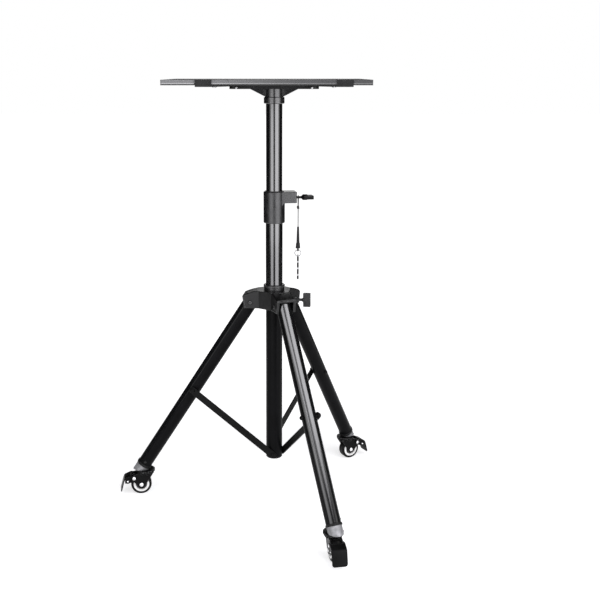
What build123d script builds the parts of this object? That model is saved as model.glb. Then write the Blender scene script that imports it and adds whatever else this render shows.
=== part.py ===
from build123d import *
import os
from math import atan2, cos, degrees, hypot, radians, sin, sqrt, tan

# Portable projector stand: a tray on a telescopic mast, carried by a folding tripod on braked casters.
# Millimetres. The origin is on the mast axis at floor level.
# +Z is up, +X points to the clamp screw's side and +Y to the back.

# Tray and its bracket
TRAY_WIDTH = 394.0
TRAY_DEPTH = 300.0
TRAY_THICKNESS = 10.0
TRAY_TOP_Z = 908.0
TRAY_SHIFT_X = -13.8
TRAY_CORNER_RADIUS = 3.0
BRACKET_THICKNESS = 3.0
ARM_WIDTH = 31.0
ARM_HOOK_X = 131.5
HOOK_CORNER = 5.0

# Mast head
FLANGE_WIDTH = 176.0
FLANGE_DEPTH = 100.0
FLANGE_THICKNESS = 5.4
FLANGE_CORNER_RADIUS = 12.0
FLANGE_BOLT_X = 74.0
LUG_WIDTH = 24.0
LUG_STEP = 2.0
BOLT_HEAD_RADIUS = 2.4
BOLT_HEAD_HEIGHT = 1.4
SOCKET_WALL = 2.0
SOCKET_RIM_WALL = 4.3
SOCKET_DEPTH = 29.2
SOCKET_RIM_HEIGHT = 13.3
GUSSET_REACH = 49.5
GUSSET_DROP = 15.5
GUSSET_THICKNESS = 5.0

# Telescopic tubes
MAST_DIAMETER = 33.0
MAST_WALL = 1.2
MAST_LENGTH = 500.0
LOWER_TUBE_WALL = 0.92
LOWER_TUBE_BOTTOM_Z = 105.0
PLUG_HEIGHT = 4.0
PLUG_BEVEL = 1.6
PLUG_SPIGOT = 14.0

# Mast clamp, its guide ring and thumb screw
CLAMP_BOTTOM_Z = 619.6
CLAMP_HEIGHT = 64.2
CLAMP_WALL = 4.5
CLAMP_AZIMUTH = 8.0
CLAMP_ARM_REACH = 45.0
CLAMP_ARM_HEIGHT = 22.8
CLAMP_ARM_WIDTH = 34.0
CLAMP_ARM_FILLET = 8.0
CLAMP_CORNER = 3.0
CLAMP_EDGE = 1.2
GUIDE_HEIGHT = 20.0
GUIDE_WALL = 2.4
GUIDE_LIP_HEIGHT = 1.4
GUIDE_LIP_WALL = 3.4
CLAMP_SCREW_DROP = 12.9
CLAMP_SCREW_RADIUS = 2.5
CLAMP_WING_START = 56.5
CLAMP_WING_LENGTH = 24.5
CLAMP_WING_WIDTH = 26.0
CLAMP_WING_THICKNESS = 7.0
CLAMP_WING_HUB_RADIUS = 6.0

# Hub with three leg clevises
HUB_PIVOT_RADIUS = 48.5
HUB_PIVOT_Z = 452.0
HUB_BOTTOM_Z = 440.0
HUB_TOP_Z = 477.5
HUB_CORE_RADIUS = 28.0
HUB_WEB_DISTANCE = 33.0
HUB_WEB_REACH = 38.0
HUB_RING_HEIGHT = 11.4
HUB_RING_WALL = 4.9
HUB_RING_STEP_WALL = 3.9
HUB_RING_STEP_HEIGHT = 6.8
CLEVIS_CHEEK = 4.5
CLEVIS_LIP_RISE = 0.5
CLEVIS_ROOF = 3.0
RIM_DEPTH = 1.0
RIM_STEP = 1.5
RIM_SIDE_STEP = 0.8
RIM_GROOVE = 2.2
RIM_HEIGHT = 3.3
CLEVIS_FOOT_INSET = 4.0
ROOF_CREST = 1.5
ROOF_BELLY = 3.0
ROOF_BELLY_AT = 0.66
ROOF_EDGE = 3.0
HUB_PIN_RADIUS = 4.0
HUB_PIN_HEAD_RADIUS = 5.5
HUB_PIN_HEAD_HEIGHT = 1.6
HUB_SCREW_Z = 456.5
HUB_SCREW_RADIUS = 3.0
HUB_BOSS_RADIUS = 8.0
HUB_BOSS_REACH = 38.0
HUB_WING_START = 59.0
HUB_WING_LENGTH = 18.0
HUB_WING_WIDTH = 30.0
HUB_WING_THICKNESS = 6.0
HUB_WING_HUB_RADIUS = 5.5
HUB_WING_TILT = 8.0

# Legs, feet and braces
FIRST_LEG_AZIMUTH = 173.28
LEG_SPLAY = 32.6
LEG_DIAMETER = 31.0
LEG_WALL = 1.0
LEG_TOP = 6.0
LEG_RING_WALL = 1.5
LEG_RING_HEIGHT = 5.0
FOOT_SHORT_SIDE = 2.15
FOOT_SPIGOT = 16.0
BRACE_LEG_DISTANCE = 237.0
BRACE_TUBE_Z = 110.4
BRACE_WIDTH = 14.5
BRACE_THICKNESS = 3.0
BRACE_PIN_RADIUS = 3.0
BRACE_NUT_RADIUS = 6.0
BRACE_NUT_HEIGHT = 5.5
BRACE_PIN_HEAD_RADIUS = 5.2
BRACE_PIN_HEAD_HEIGHT = 2.4
LEG_BOLT_RADIUS = 2.5
LEG_BOLT_HEAD_RADIUS = 4.5
LEG_BOLT_HEAD_HEIGHT = 5.0

# Casters
WHEEL_DIAMETER = 46.0
TYRE_WIDTH = 18.0
TYRE_THICKNESS = 5.5
CORE_FACE_STEP = 0.5
CORE_RING_OUTER = 17.0
CORE_RING_INNER = 12.5
CORE_GROOVE_DEPTH = 2.5
CORE_BOSS_RADIUS = 6.5
AXLE_RADIUS = 3.0
AXLE_HEAD_RADIUS = 4.5
AXLE_HEAD_HEIGHT = 1.8
CASTER_STEM_R = 291.0
CASTER_TRAIL = 11.0
LEFT_CASTER_TURN = 16.0
FRONT_CASTER_TURN = -12.5
REAR_CASTER_TURN = -26.3
STEM_RADIUS = 5.0
STEM_LENGTH = 12.0
HOUSING_RADIUS = 20.5
HOUSING_NECK_RADIUS = 17.0
HOUSING_HEIGHT = 5.8
CROWN_RADIUS = 18.0
CROWN_THICKNESS = 3.7
KINGPIN_RADIUS = 4.0
KINGPIN_HEAD_RADIUS = 6.5
KINGPIN_HEAD_HEIGHT = 1.4
CHEEK_THICKNESS = 2.5
CHEEK_EYE_RADIUS = 8.0
PEDAL_PIVOT_X = 27.0
PEDAL_PIVOT_RISE = 17.0
PEDAL_EYE_RADIUS = 6.0
PEDAL_PLATE = 2.2
PEDAL_EAR = 2.0
PEDAL_RIVET_RADIUS = 2.5
PEDAL_RIVET_HEAD_RADIUS = 3.6
PEDAL_RIVET_HEAD_HEIGHT = 1.2
PEDAL_BACK_REACH = 6.0
PEDAL_CREST_REACH = 19.0
PEDAL_CREST_RISE = -0.5
PEDAL_BEND_RADIUS = 16.0
PEDAL_BEND_ANGLE = 57.0
PEDAL_PIN_REACH = 14.0
PEDAL_PIN_DROP = 6.0
PEDAL_PIN_RADIUS = 2.0
PEDAL_PIN_EYE = 5.0
PEDAL_TIP_X = 57.0
PEDAL_TIP_Z = 9.0

# Lanyard with the mast's safety pin
LANYARD_R = 50.2
CORD_RADIUS = 0.75
CORD_LOOP_GAP = 0.55
CORD_SHOULDER_DROP = 11.5
CORD_KNOT_DROP = 24.5
CORD_STRAND_DROP = 43.0
CORD_KNOT_SPREAD = 0.8
CORD_STRAND_SPREAD = 1.2
CORD_ARC_SHARE = 0.45
CRIMP_DROP = 95.5
CRIMP_HEIGHT = 11.0
CRIMP_TOP_RADIUS = 4.0
CRIMP_BOTTOM_RADIUS = 4.8
TAPER_LENGTH = 34.0
TAPER_TOP_RADIUS = 2.1
TAPER_BOTTOM_RADIUS = 3.2
RING_RADIUS = 6.5
RING_WIRE_RADIUS = 0.75
RING_DROP = 21.25
EYE_RADIUS = 3.0
EYE_HOLE_RADIUS = 1.3
EYE_THICKNESS = 2.4
SAFETY_PIN_RADIUS = 1.9
SAFETY_PIN_LENGTH = 50.0

# Clearances, and how far a cutter runs past the face it cuts
SLIDE_FIT = 0.08
PIVOT_FIT = 0.05
SEAT_FIT = 0.05
FACE_GAP = 0.3
SCREW_TIP_GAP = 0.8
LEG_SIDE_GAP = 0.5
BRACE_SIDE_GAP = 0.5
WHEEL_SIDE_GAP = 1.0
WHEEL_TOP_GAP = 1.5
EAR_SIDE_GAP = 0.5
PAST = 1.0

# Sizes that follow from the driving dimensions
tray_bottom_z = TRAY_TOP_Z - TRAY_THICKNESS
bracket_bottom_z = tray_bottom_z - BRACKET_THICKNESS
flange_bottom_z = bracket_bottom_z - FLANGE_THICKNESS
mast_radius = MAST_DIAMETER / 2
tube_bore_radius = mast_radius + SLIDE_FIT
tube_radius = tube_bore_radius + LOWER_TUBE_WALL
clamp_top_z = CLAMP_BOTTOM_Z + CLAMP_HEIGHT
clamp_radius = tube_radius + CLAMP_WALL
clamp_screw_z = clamp_top_z - CLAMP_SCREW_DROP
guide_radius = mast_radius + GUIDE_WALL
guide_bottom_z = clamp_top_z - GUIDE_HEIGHT
lower_tube_top_z = guide_bottom_z - FACE_GAP
hub_bore_radius = tube_radius + SLIDE_FIT
leg_radius = LEG_DIAMETER / 2
cheek_inner = leg_radius + LEG_SIDE_GAP
cheek_outer = cheek_inner + CLEVIS_CHEEK
clevis_reach = HUB_PIVOT_RADIUS + leg_radius
clevis_foot = clevis_reach - CLEVIS_FOOT_INSET
clevis_lip_z = HUB_PIVOT_Z + leg_radius + CLEVIS_LIP_RISE
brace_inner = max(tube_radius, leg_radius) + BRACE_SIDE_GAP
brace_outer = brace_inner + BRACE_THICKNESS
wheel_radius = WHEEL_DIAMETER / 2
core_half_width = TYRE_WIDTH / 2 + CORE_FACE_STEP
cheek_inside = core_half_width + WHEEL_SIDE_GAP
cheek_outside = cheek_inside + CHEEK_THICKNESS
ear_inside = cheek_outside + EAR_SIDE_GAP
pedal_half_width = ear_inside + PEDAL_EAR
crown_bottom_z = WHEEL_DIAMETER + WHEEL_TOP_GAP
crown_top_z = crown_bottom_z + CROWN_THICKNESS
housing_bottom_z = crown_top_z + FACE_GAP
foot_z = housing_bottom_z + HOUSING_HEIGHT
foot_mean_height = leg_radius * sin(radians(LEG_SPLAY)) + FOOT_SHORT_SIDE
leg_end_z = foot_z + foot_mean_height
leg_length = (HUB_PIVOT_Z - leg_end_z) / cos(radians(LEG_SPLAY))
pedal_pivot_z = wheel_radius + PEDAL_PIVOT_RISE
leg_azimuths = {
    "left": FIRST_LEG_AZIMUTH,
    "front": FIRST_LEG_AZIMUTH + 120.0,
    "rear": FIRST_LEG_AZIMUTH - 120.0,
}
caster_turns = {"left": LEFT_CASTER_TURN, "front": FRONT_CASTER_TURN, "rear": REAR_CASTER_TURN}
hub_screw_azimuth = (leg_azimuths["front"] - 360.0 + leg_azimuths["rear"]) / 2

# Lanyard heights hang from the clamp screw, and its route is (sideways, height) points in one upright plane
crimp_top_z = clamp_screw_z - CRIMP_DROP
taper_top_z = crimp_top_z + TAPER_LENGTH
ring_centre_z = crimp_top_z - RING_DROP
loop_half = CLAMP_SCREW_RADIUS + CORD_RADIUS + CORD_LOOP_GAP
cord_side = [
    (CORD_STRAND_SPREAD, taper_top_z),
    (CORD_STRAND_SPREAD, clamp_screw_z - CORD_STRAND_DROP),
    (CORD_KNOT_SPREAD, clamp_screw_z - CORD_KNOT_DROP),
    (loop_half, clamp_screw_z - CORD_SHOULDER_DROP),
    (loop_half, clamp_screw_z + loop_half),
]
cord_route = [(-across, height) for across, height in cord_side] + cord_side[::-1]

UP = (Align.CENTER, Align.CENTER, Align.MIN)


def rod(radius, start, end):
    """A round bar on the Z axis from one height to another."""
    return Pos(0, 0, start) * Cylinder(radius, end - start, align=UP)


def tube(outer, inner, start, end):
    """A round tube on the Z axis from one height to another."""
    return rod(outer, start, end) - rod(inner, start, end)


def turned(points):
    """A solid turned about the Z axis from (radius, height) corners."""
    return revolve(Plane.XZ * make_face(Polyline(*points, close=True)), Axis.Z)


def to_x(solid):
    """Lay a solid made along +Z down along +X."""
    return Rot(0, 90, 0) * solid


def to_y(solid):
    """Lay a solid made along +Z down along +Y."""
    return Rot(-90, 0, 0) * solid


def plate_xz(face, start, end):
    """Raise a face drawn in the XZ plane into a plate between two Y values."""
    return Pos(0, start, 0) * extrude(Plane.XZ * face, -(end - start))


def domed_head(radius, height, base):
    """A rivet head on the Z axis whose top is a spherical cap, standing on a base height."""
    sphere_radius = (radius**2 + height**2) / (2 * height)
    ball = Pos(0, 0, base + height - sphere_radius) * Sphere(sphere_radius)
    return ball & rod(radius, base, base + height)


# Tray: a flat board with eased corners
def make_tray():
    board = extrude(RectangleRounded(TRAY_WIDTH, TRAY_DEPTH, TRAY_CORNER_RADIUS), TRAY_THICKNESS)
    return Pos(TRAY_SHIFT_X, 0, tray_bottom_z) * board


# Tray bracket: a plate with four diagonal arms welded on, which hook up over the tray's front and back edges
def make_tray_bracket():
    plate = Pos(0, 0, bracket_bottom_z) * extrude(
        RectangleRounded(FLANGE_WIDTH, FLANGE_DEPTH, FLANGE_CORNER_RADIUS), BRACKET_THICKNESS
    )
    edge_y = TRAY_DEPTH / 2 + SEAT_FIT
    root_x = FLANGE_WIDTH / 2 - ARM_WIDTH
    half = ARM_WIDTH / 2
    lip_height = TRAY_THICKNESS + BRACKET_THICKNESS
    strap = Polyline(
        (root_x - half, 0),
        (ARM_HOOK_X - half, edge_y),
        (ARM_HOOK_X + half, edge_y),
        (root_x + half, 0),
        close=True,
    )
    hook = Polyline(
        (HOOK_CORNER - half, 0),
        (half - HOOK_CORNER, 0),
        (half, HOOK_CORNER),
        (half, lip_height),
        (-half, lip_height),
        (-half, HOOK_CORNER),
        close=True,
    )
    arm = Pos(0, 0, bracket_bottom_z) * extrude(make_face(strap), BRACKET_THICKNESS, dir=(0, 0, 1))
    lip = plate_xz(make_face(hook), edge_y, edge_y + BRACKET_THICKNESS)
    arm += Pos(ARM_HOOK_X, 0, bracket_bottom_z) * lip
    arm -= plate
    pair = [arm, mirror(arm, Plane.YZ)]
    return Compound([plate] + pair + [mirror(side, Plane.XZ) for side in pair])


# Mast head: a cast flange with bolted end lugs, a socket for the mast and two side gussets
def make_mast_head():
    outline = RectangleRounded(FLANGE_WIDTH, FLANGE_DEPTH, FLANGE_CORNER_RADIUS)
    waist = FLANGE_WIDTH - 2 * LUG_WIDTH
    outline -= Pos(0, FLANGE_DEPTH / 2) * Rectangle(waist, 2 * LUG_STEP)
    outline -= Pos(0, -FLANGE_DEPTH / 2) * Rectangle(waist, 2 * LUG_STEP)
    flange = Pos(0, 0, flange_bottom_z) * extrude(outline, FLANGE_THICKNESS)
    bore = mast_radius + SEAT_FIT
    wall = mast_radius + SOCKET_WALL
    rim = mast_radius + SOCKET_RIM_WALL
    bottom = flange_bottom_z - SOCKET_DEPTH
    rim_top = bottom + SOCKET_RIM_HEIGHT
    rim_step = rim - wall
    socket = turned(
        [
            (bore, bottom),
            (rim - rim_step / 2, bottom),
            (rim, bottom + rim_step / 2),
            (rim, rim_top - rim_step / 2),
            (wall, rim_top),
            (wall, flange_bottom_z),
            (bore, flange_bottom_z),
        ]
    )
    rib = make_face(
        Polyline(
            (bore, flange_bottom_z),
            (GUSSET_REACH, flange_bottom_z),
            (bore, flange_bottom_z - GUSSET_DROP * (GUSSET_REACH - bore) / (GUSSET_REACH - wall)),
            close=True,
        )
    )
    gusset = plate_xz(rib, -GUSSET_THICKNESS / 2, GUSSET_THICKNESS / 2)
    gusset -= rod(bore, bottom, flange_bottom_z)
    return flange + socket + gusset + Rot(0, 0, 180) * gusset


# Head bolts: a low domed head on the front and back of each lug
def make_head_bolts():
    head = to_y(domed_head(BOLT_HEAD_RADIUS, BOLT_HEAD_HEIGHT, FLANGE_DEPTH / 2))
    right = Pos(FLANGE_BOLT_X, 0, flange_bottom_z + FLANGE_THICKNESS / 2)
    left = Pos(-FLANGE_BOLT_X, 0, flange_bottom_z + FLANGE_THICKNESS / 2)
    turns = (Rot(0, 0, 0), Rot(0, 0, 180))
    return Compound([place * turn * head for place in (right, left) for turn in turns])


# Upper mast: a thin tube that telescopes in the lower tube
def make_upper_mast():
    return tube(mast_radius, mast_radius - MAST_WALL, flange_bottom_z - MAST_LENGTH, flange_bottom_z)


# Lower tube with three cross holes for the brace studs
def make_lower_tube():
    body = tube(tube_radius, tube_bore_radius, LOWER_TUBE_BOTTOM_Z, lower_tube_top_z)
    drill = Pos(0, 0, BRACE_TUBE_Z) * to_y(rod(BRACE_PIN_RADIUS + SEAT_FIT, 0, tube_radius + PAST))
    for azimuth in leg_azimuths.values():
        body -= Rot(0, 0, azimuth) * drill
    return body


# Tube plug: a bevelled cap with a spigot in the tube's lower end
def make_tube_plug():
    bottom = LOWER_TUBE_BOTTOM_Z - PLUG_HEIGHT
    spigot = tube_bore_radius - SEAT_FIT - LOWER_TUBE_WALL
    return turned(
        [
            (0, bottom),
            (tube_radius - PLUG_BEVEL, bottom),
            (tube_radius, bottom + PLUG_BEVEL),
            (tube_radius, LOWER_TUBE_BOTTOM_Z),
            (spigot, LOWER_TUBE_BOTTOM_Z),
            (spigot, LOWER_TUBE_BOTTOM_Z + PLUG_SPIGOT),
            (0, LOWER_TUBE_BOTTOM_Z + PLUG_SPIGOT),
        ]
    )


# Mast clamp: a moulded sleeve round the tube's top with a side arm that carries the thumb screw
def make_clamp():
    sleeve = rod(clamp_radius, CLAMP_BOTTOM_Z, clamp_top_z)
    arm_bottom = clamp_top_z - CLAMP_ARM_HEIGHT
    half = CLAMP_ARM_WIDTH / 2
    root = sqrt(clamp_radius**2 - half**2)
    bend = CLAMP_ARM_FILLET * (1 - sqrt(0.5))
    profile = Polyline(
        (root, arm_bottom - CLAMP_ARM_FILLET),
        (0, arm_bottom - CLAMP_ARM_FILLET),
        (0, clamp_top_z),
        (CLAMP_ARM_REACH, clamp_top_z),
        (CLAMP_ARM_REACH, arm_bottom),
        (root + CLAMP_ARM_FILLET, arm_bottom),
    ) + ThreePointArc(
        (root + CLAMP_ARM_FILLET, arm_bottom),
        (root + bend, arm_bottom - bend),
        (root, arm_bottom - CLAMP_ARM_FILLET),
    )
    arm = plate_xz(make_face(profile), -half, half)
    arm = fillet(arm.edges().filter_by(Axis.Z).group_by(Axis.X)[-1], CLAMP_CORNER)
    body = sleeve + arm
    body = fillet(body.edges().group_by(Axis.Z)[-1], CLAMP_EDGE)
    body = fillet(body.edges().group_by(Axis.Z)[0], CLAMP_EDGE)
    body -= rod(tube_radius + SEAT_FIT, CLAMP_BOTTOM_Z - PAST, clamp_top_z + PAST)
    body -= rod(guide_radius + PIVOT_FIT, guide_bottom_z, clamp_top_z + PAST)
    body -= Pos(0, 0, clamp_screw_z) * to_x(rod(CLAMP_SCREW_RADIUS + PIVOT_FIT, 0, CLAMP_ARM_REACH + PAST))
    return Rot(0, 0, CLAMP_AZIMUTH) * body


# Guide ring: a plastic bush with a lip, which turns with the mast in the clamp
def make_mast_guide():
    bore = mast_radius + SLIDE_FIT
    lip = mast_radius + GUIDE_LIP_WALL
    lip_bottom = clamp_top_z + FACE_GAP
    lip_top = lip_bottom + GUIDE_LIP_HEIGHT
    return turned(
        [
            (bore, guide_bottom_z),
            (guide_radius, guide_bottom_z),
            (guide_radius, lip_bottom),
            (lip, lip_bottom),
            (lip, lip_top - GUIDE_LIP_HEIGHT / 2),
            (lip - GUIDE_LIP_HEIGHT / 2, lip_top),
            (bore, lip_top),
        ]
    )


# Wing knob on a screw along +X: a flared hub with a flat, square wing across it
def make_wing_knob(screw_radius, start, wing_start, wing_length, wing_width, wing_thickness, hub_radius):
    shank = rod(screw_radius, start, wing_start)
    hub = turned(
        [
            (0, wing_start),
            (screw_radius, wing_start),
            (hub_radius, wing_start + hub_radius - screw_radius),
            (hub_radius, wing_start + wing_length / 2),
            (0, wing_start + wing_length / 2),
        ]
    )
    neck = hub_radius - screw_radius
    blade = RectangleRounded(wing_width, wing_length - neck, wing_length / 12)
    blade = Pos(0, wing_start + (wing_length + neck) / 2) * blade
    wing = plate_xz(blade, -wing_thickness / 2, wing_thickness / 2)
    return to_x(shank + hub + wing)


def make_clamp_knob():
    knob = make_wing_knob(
        CLAMP_SCREW_RADIUS,
        guide_radius + SCREW_TIP_GAP,
        CLAMP_WING_START,
        CLAMP_WING_LENGTH,
        CLAMP_WING_WIDTH,
        CLAMP_WING_THICKNESS,
        CLAMP_WING_HUB_RADIUS,
    )
    return Rot(0, 0, CLAMP_AZIMUTH) * Pos(0, 0, clamp_screw_z) * Rot(90, 0, 0) * knob


def make_hub_knob():
    knob = make_wing_knob(
        HUB_SCREW_RADIUS,
        tube_radius + SCREW_TIP_GAP,
        HUB_WING_START,
        HUB_WING_LENGTH,
        HUB_WING_WIDTH,
        HUB_WING_THICKNESS,
        HUB_WING_HUB_RADIUS,
    )
    return Rot(0, 0, hub_screw_azimuth) * Pos(0, 0, HUB_SCREW_Z) * Rot(HUB_WING_TILT, 0, 0) * knob


# Hub: a moulded core that slides on the lower tube, with three roofed clevises joined by flat webs
def make_clevis_rim():
    """A raised rim round the clevis mouth: a bead under the roof's lip that runs down both cheeks."""
    slant = (clevis_reach - clevis_foot) / (clevis_lip_z - HUB_BOTTOM_Z)
    top = clevis_lip_z - RIM_GROOVE
    top_x = clevis_reach - slant * RIM_GROOVE
    band = Polyline(
        (clevis_foot - RIM_DEPTH, HUB_BOTTOM_Z),
        (clevis_foot + RIM_STEP, HUB_BOTTOM_Z),
        (top_x + RIM_STEP, top),
        (top_x - RIM_DEPTH, top),
        close=True,
    )
    half = cheek_outer + RIM_SIDE_STEP
    rim = plate_xz(make_face(band), -half, half)
    mouth = Pos(0, 0, top - RIM_HEIGHT) * Box(
        4 * clevis_reach, 2 * cheek_inner, 2 * HUB_TOP_Z, align=(Align.CENTER, Align.CENTER, Align.MAX)
    )
    return rim - mouth


def make_hub():
    corner = Vector(2 * HUB_WEB_DISTANCE, 0)
    corners = [corner.rotate(Axis.Z, azimuth) for azimuth in leg_azimuths.values()]
    core = extrude(make_face(Polyline(*corners, close=True)), HUB_TOP_Z - HUB_BOTTOM_Z, dir=(0, 0, 1))
    hub = Pos(0, 0, HUB_BOTTOM_Z) * core & rod(HUB_WEB_REACH, HUB_BOTTOM_Z, HUB_TOP_Z)
    crest = (0, HUB_TOP_Z + ROOF_CREST)
    belly = (clevis_reach * ROOF_BELLY_AT, (HUB_TOP_Z + clevis_lip_z) / 2 + ROOF_BELLY)
    lip = (clevis_reach, clevis_lip_z)
    outline = ThreePointArc(crest, belly, lip) + Polyline(
        lip, (clevis_foot, HUB_BOTTOM_Z), (0, HUB_BOTTOM_Z), crest
    )
    side = make_face(outline)
    block = plate_xz(side, -cheek_outer, cheek_outer)
    block = fillet(block.edges().filter_by(GeomType.CIRCLE), ROOF_EDGE)
    for azimuth in leg_azimuths.values():
        hub += Rot(0, 0, azimuth) * block
    room = Pos(0, 0, -CLEVIS_ROOF) * plate_xz(side, -cheek_inner, cheek_inner)
    room -= rod(HUB_CORE_RADIUS, HUB_BOTTOM_Z - CLEVIS_ROOF - PAST, HUB_TOP_Z + PAST)
    room += Pos(HUB_PIVOT_RADIUS, 0, HUB_PIVOT_Z) * to_y(
        rod(HUB_PIN_RADIUS + SEAT_FIT, -cheek_outer - PAST, cheek_outer + PAST)
    )
    rim = make_clevis_rim()
    for azimuth in leg_azimuths.values():
        hub -= Rot(0, 0, azimuth) * room
        hub += Rot(0, 0, azimuth) * rim
    hub -= rod(2 * clevis_reach, HUB_TOP_Z, HUB_TOP_Z + HUB_RING_HEIGHT)
    boss = Pos(0, 0, HUB_SCREW_Z) * to_x(rod(HUB_BOSS_RADIUS, 0, HUB_BOSS_REACH))
    hub += Rot(0, 0, hub_screw_azimuth) * boss
    screw_hole = Pos(0, 0, HUB_SCREW_Z) * to_x(rod(HUB_SCREW_RADIUS + PIVOT_FIT, 0, HUB_BOSS_REACH + PAST))
    hub -= Rot(0, 0, hub_screw_azimuth) * screw_hole
    hub -= rod(hub_bore_radius, HUB_BOTTOM_Z - PAST, HUB_TOP_Z + PAST)
    return hub


# Hub ring: a stepped collar on the hub's top
def make_hub_ring():
    outer = tube_radius + HUB_RING_WALL
    step = tube_radius + HUB_RING_STEP_WALL
    top = HUB_TOP_Z + HUB_RING_HEIGHT
    middle = HUB_TOP_Z + HUB_RING_STEP_HEIGHT
    ease = HUB_RING_WALL - HUB_RING_STEP_WALL
    return turned(
        [
            (hub_bore_radius, HUB_TOP_Z),
            (step, HUB_TOP_Z),
            (step, middle),
            (outer, middle + ease / 2),
            (outer, top - ease),
            (outer - ease, top),
            (hub_bore_radius, top),
        ]
    )


# Hub pins: one riveted pin across each clevis
def make_hub_pins():
    pin = rod(HUB_PIN_RADIUS, -cheek_outer, cheek_outer)
    head = domed_head(HUB_PIN_HEAD_RADIUS, HUB_PIN_HEAD_HEIGHT, cheek_outer)
    pin = to_y(pin + head + Rot(180, 0, 0) * head)
    pivot = Pos(HUB_PIVOT_RADIUS, 0, HUB_PIVOT_Z)
    return Compound([Rot(0, 0, azimuth) * pivot * pin for azimuth in leg_azimuths.values()])


# Leg pieces are made at azimuth 0 with X outwards and Y along the pivots, then turned into place
leg_place = Pos(HUB_PIVOT_RADIUS, 0, HUB_PIVOT_Z) * Rot(0, -LEG_SPLAY, 0)


def make_leg_tube():
    leg = tube(leg_radius, leg_radius - LEG_WALL, -leg_length, LEG_TOP)
    through = leg_radius + PAST
    leg -= to_y(rod(HUB_PIN_RADIUS + PIVOT_FIT, -through, through))
    leg -= Pos(0, 0, -BRACE_LEG_DISTANCE) * to_y(rod(LEG_BOLT_RADIUS + SEAT_FIT, -through, through))
    return leg_place * leg


def make_leg_ring():
    outer = leg_radius + LEG_RING_WALL
    bottom = -leg_length
    top = bottom + LEG_RING_HEIGHT
    ring = turned(
        [
            (leg_radius + SEAT_FIT, bottom),
            (outer, bottom),
            (outer, top - LEG_RING_WALL / 2),
            (outer - LEG_RING_WALL / 2, top),
            (leg_radius + SEAT_FIT, top),
        ]
    )
    return leg_place * ring


def make_foot():
    """A cast wedge that plugs into the leg and ends level, so that the caster stands upright."""
    spigot = leg_radius - LEG_WALL - SEAT_FIT
    drop = 2 * foot_mean_height / cos(radians(LEG_SPLAY)) + leg_radius
    foot = rod(leg_radius, -leg_length - drop, -leg_length)
    foot += rod(spigot, -leg_length, -leg_length + FOOT_SPIGOT)
    foot = leg_place * foot
    reach = 4 * leg_radius
    foot -= Pos(CASTER_STEM_R, 0, foot_z) * Box(
        2 * reach, 2 * reach, reach, align=(Align.CENTER, Align.CENTER, Align.MAX)
    )
    stem_hole_top = foot_z + STEM_LENGTH + FACE_GAP
    foot -= Pos(CASTER_STEM_R, 0, 0) * rod(STEM_RADIUS + SEAT_FIT, foot_z - PAST, stem_hole_top)
    return foot


def make_leg_bolt():
    """A bolt across the leg: a domed head on one side and a spacer for the brace on the other."""
    shank = rod(LEG_BOLT_RADIUS, -leg_radius - LEG_BOLT_HEAD_HEIGHT / 2, brace_inner - FACE_GAP)
    spacer = rod(LEG_BOLT_HEAD_RADIUS, leg_radius + SEAT_FIT, brace_inner - FACE_GAP)
    head = Rot(180, 0, 0) * domed_head(LEG_BOLT_HEAD_RADIUS, LEG_BOLT_HEAD_HEIGHT, leg_radius + SEAT_FIT)
    return leg_place * Pos(0, 0, -BRACE_LEG_DISTANCE) * to_y(shank + spacer + head)


# Brace: a flat bar from the leg's side to a stud on the lower tube
brace_top_x = HUB_PIVOT_RADIUS + BRACE_LEG_DISTANCE * sin(radians(LEG_SPLAY))
brace_top_z = HUB_PIVOT_Z - BRACE_LEG_DISTANCE * cos(radians(LEG_SPLAY))
brace_length = hypot(brace_top_x, brace_top_z - BRACE_TUBE_Z)
brace_tilt = degrees(atan2(brace_top_x, brace_top_z - BRACE_TUBE_Z))


def make_brace():
    bar = Rot(0, 0, 90) * SlotCenterToCenter(brace_length, BRACE_WIDTH)
    bar = Pos(0, brace_length / 2) * bar
    bar -= Circle(BRACE_PIN_RADIUS + PIVOT_FIT)
    brace = plate_xz(bar, brace_inner, brace_outer)
    nut = domed_head(BRACE_NUT_RADIUS, BRACE_NUT_HEIGHT, brace_outer)
    brace += Pos(0, 0, brace_length) * to_y(nut)
    return Pos(0, 0, BRACE_TUBE_Z) * Rot(0, brace_tilt, 0) * brace


def make_brace_studs():
    """The studs on the lower tube that the braces turn on, one to each brace."""
    stud = rod(BRACE_PIN_RADIUS, tube_bore_radius + FACE_GAP, brace_outer + FACE_GAP)
    stud += domed_head(BRACE_PIN_HEAD_RADIUS, BRACE_PIN_HEAD_HEIGHT, brace_outer + FACE_GAP)
    stud = Pos(0, 0, BRACE_TUBE_Z) * to_y(stud)
    return Compound([Rot(0, 0, azimuth) * stud for azimuth in leg_azimuths.values()])


# Casters are made with the stem on the Z axis, the wheel and pedal towards +X
def make_housing():
    """The ball-race housing under the foot, with the stem above and the kingpin below."""
    sixth = HOUSING_HEIGHT / 6
    groove = (HOUSING_NECK_RADIUS + HOUSING_RADIUS) / 2
    head_top = crown_bottom_z + KINGPIN_HEAD_HEIGHT / 2
    housing = turned(
        [
            (0, housing_bottom_z),
            (HOUSING_NECK_RADIUS, housing_bottom_z),
            (HOUSING_RADIUS, housing_bottom_z + sixth),
            (HOUSING_RADIUS, housing_bottom_z + 2 * sixth),
            (groove, housing_bottom_z + 3 * sixth),
            (HOUSING_RADIUS, housing_bottom_z + 4 * sixth),
            (HOUSING_RADIUS, housing_bottom_z + 5 * sixth),
            (HOUSING_NECK_RADIUS, foot_z),
            (0, foot_z),
        ]
    )
    housing += rod(STEM_RADIUS, foot_z, foot_z + STEM_LENGTH)
    housing += rod(KINGPIN_RADIUS, head_top - KINGPIN_HEAD_HEIGHT, housing_bottom_z)
    housing += rod(KINGPIN_HEAD_RADIUS, head_top - KINGPIN_HEAD_HEIGHT, head_top)
    return housing


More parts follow.
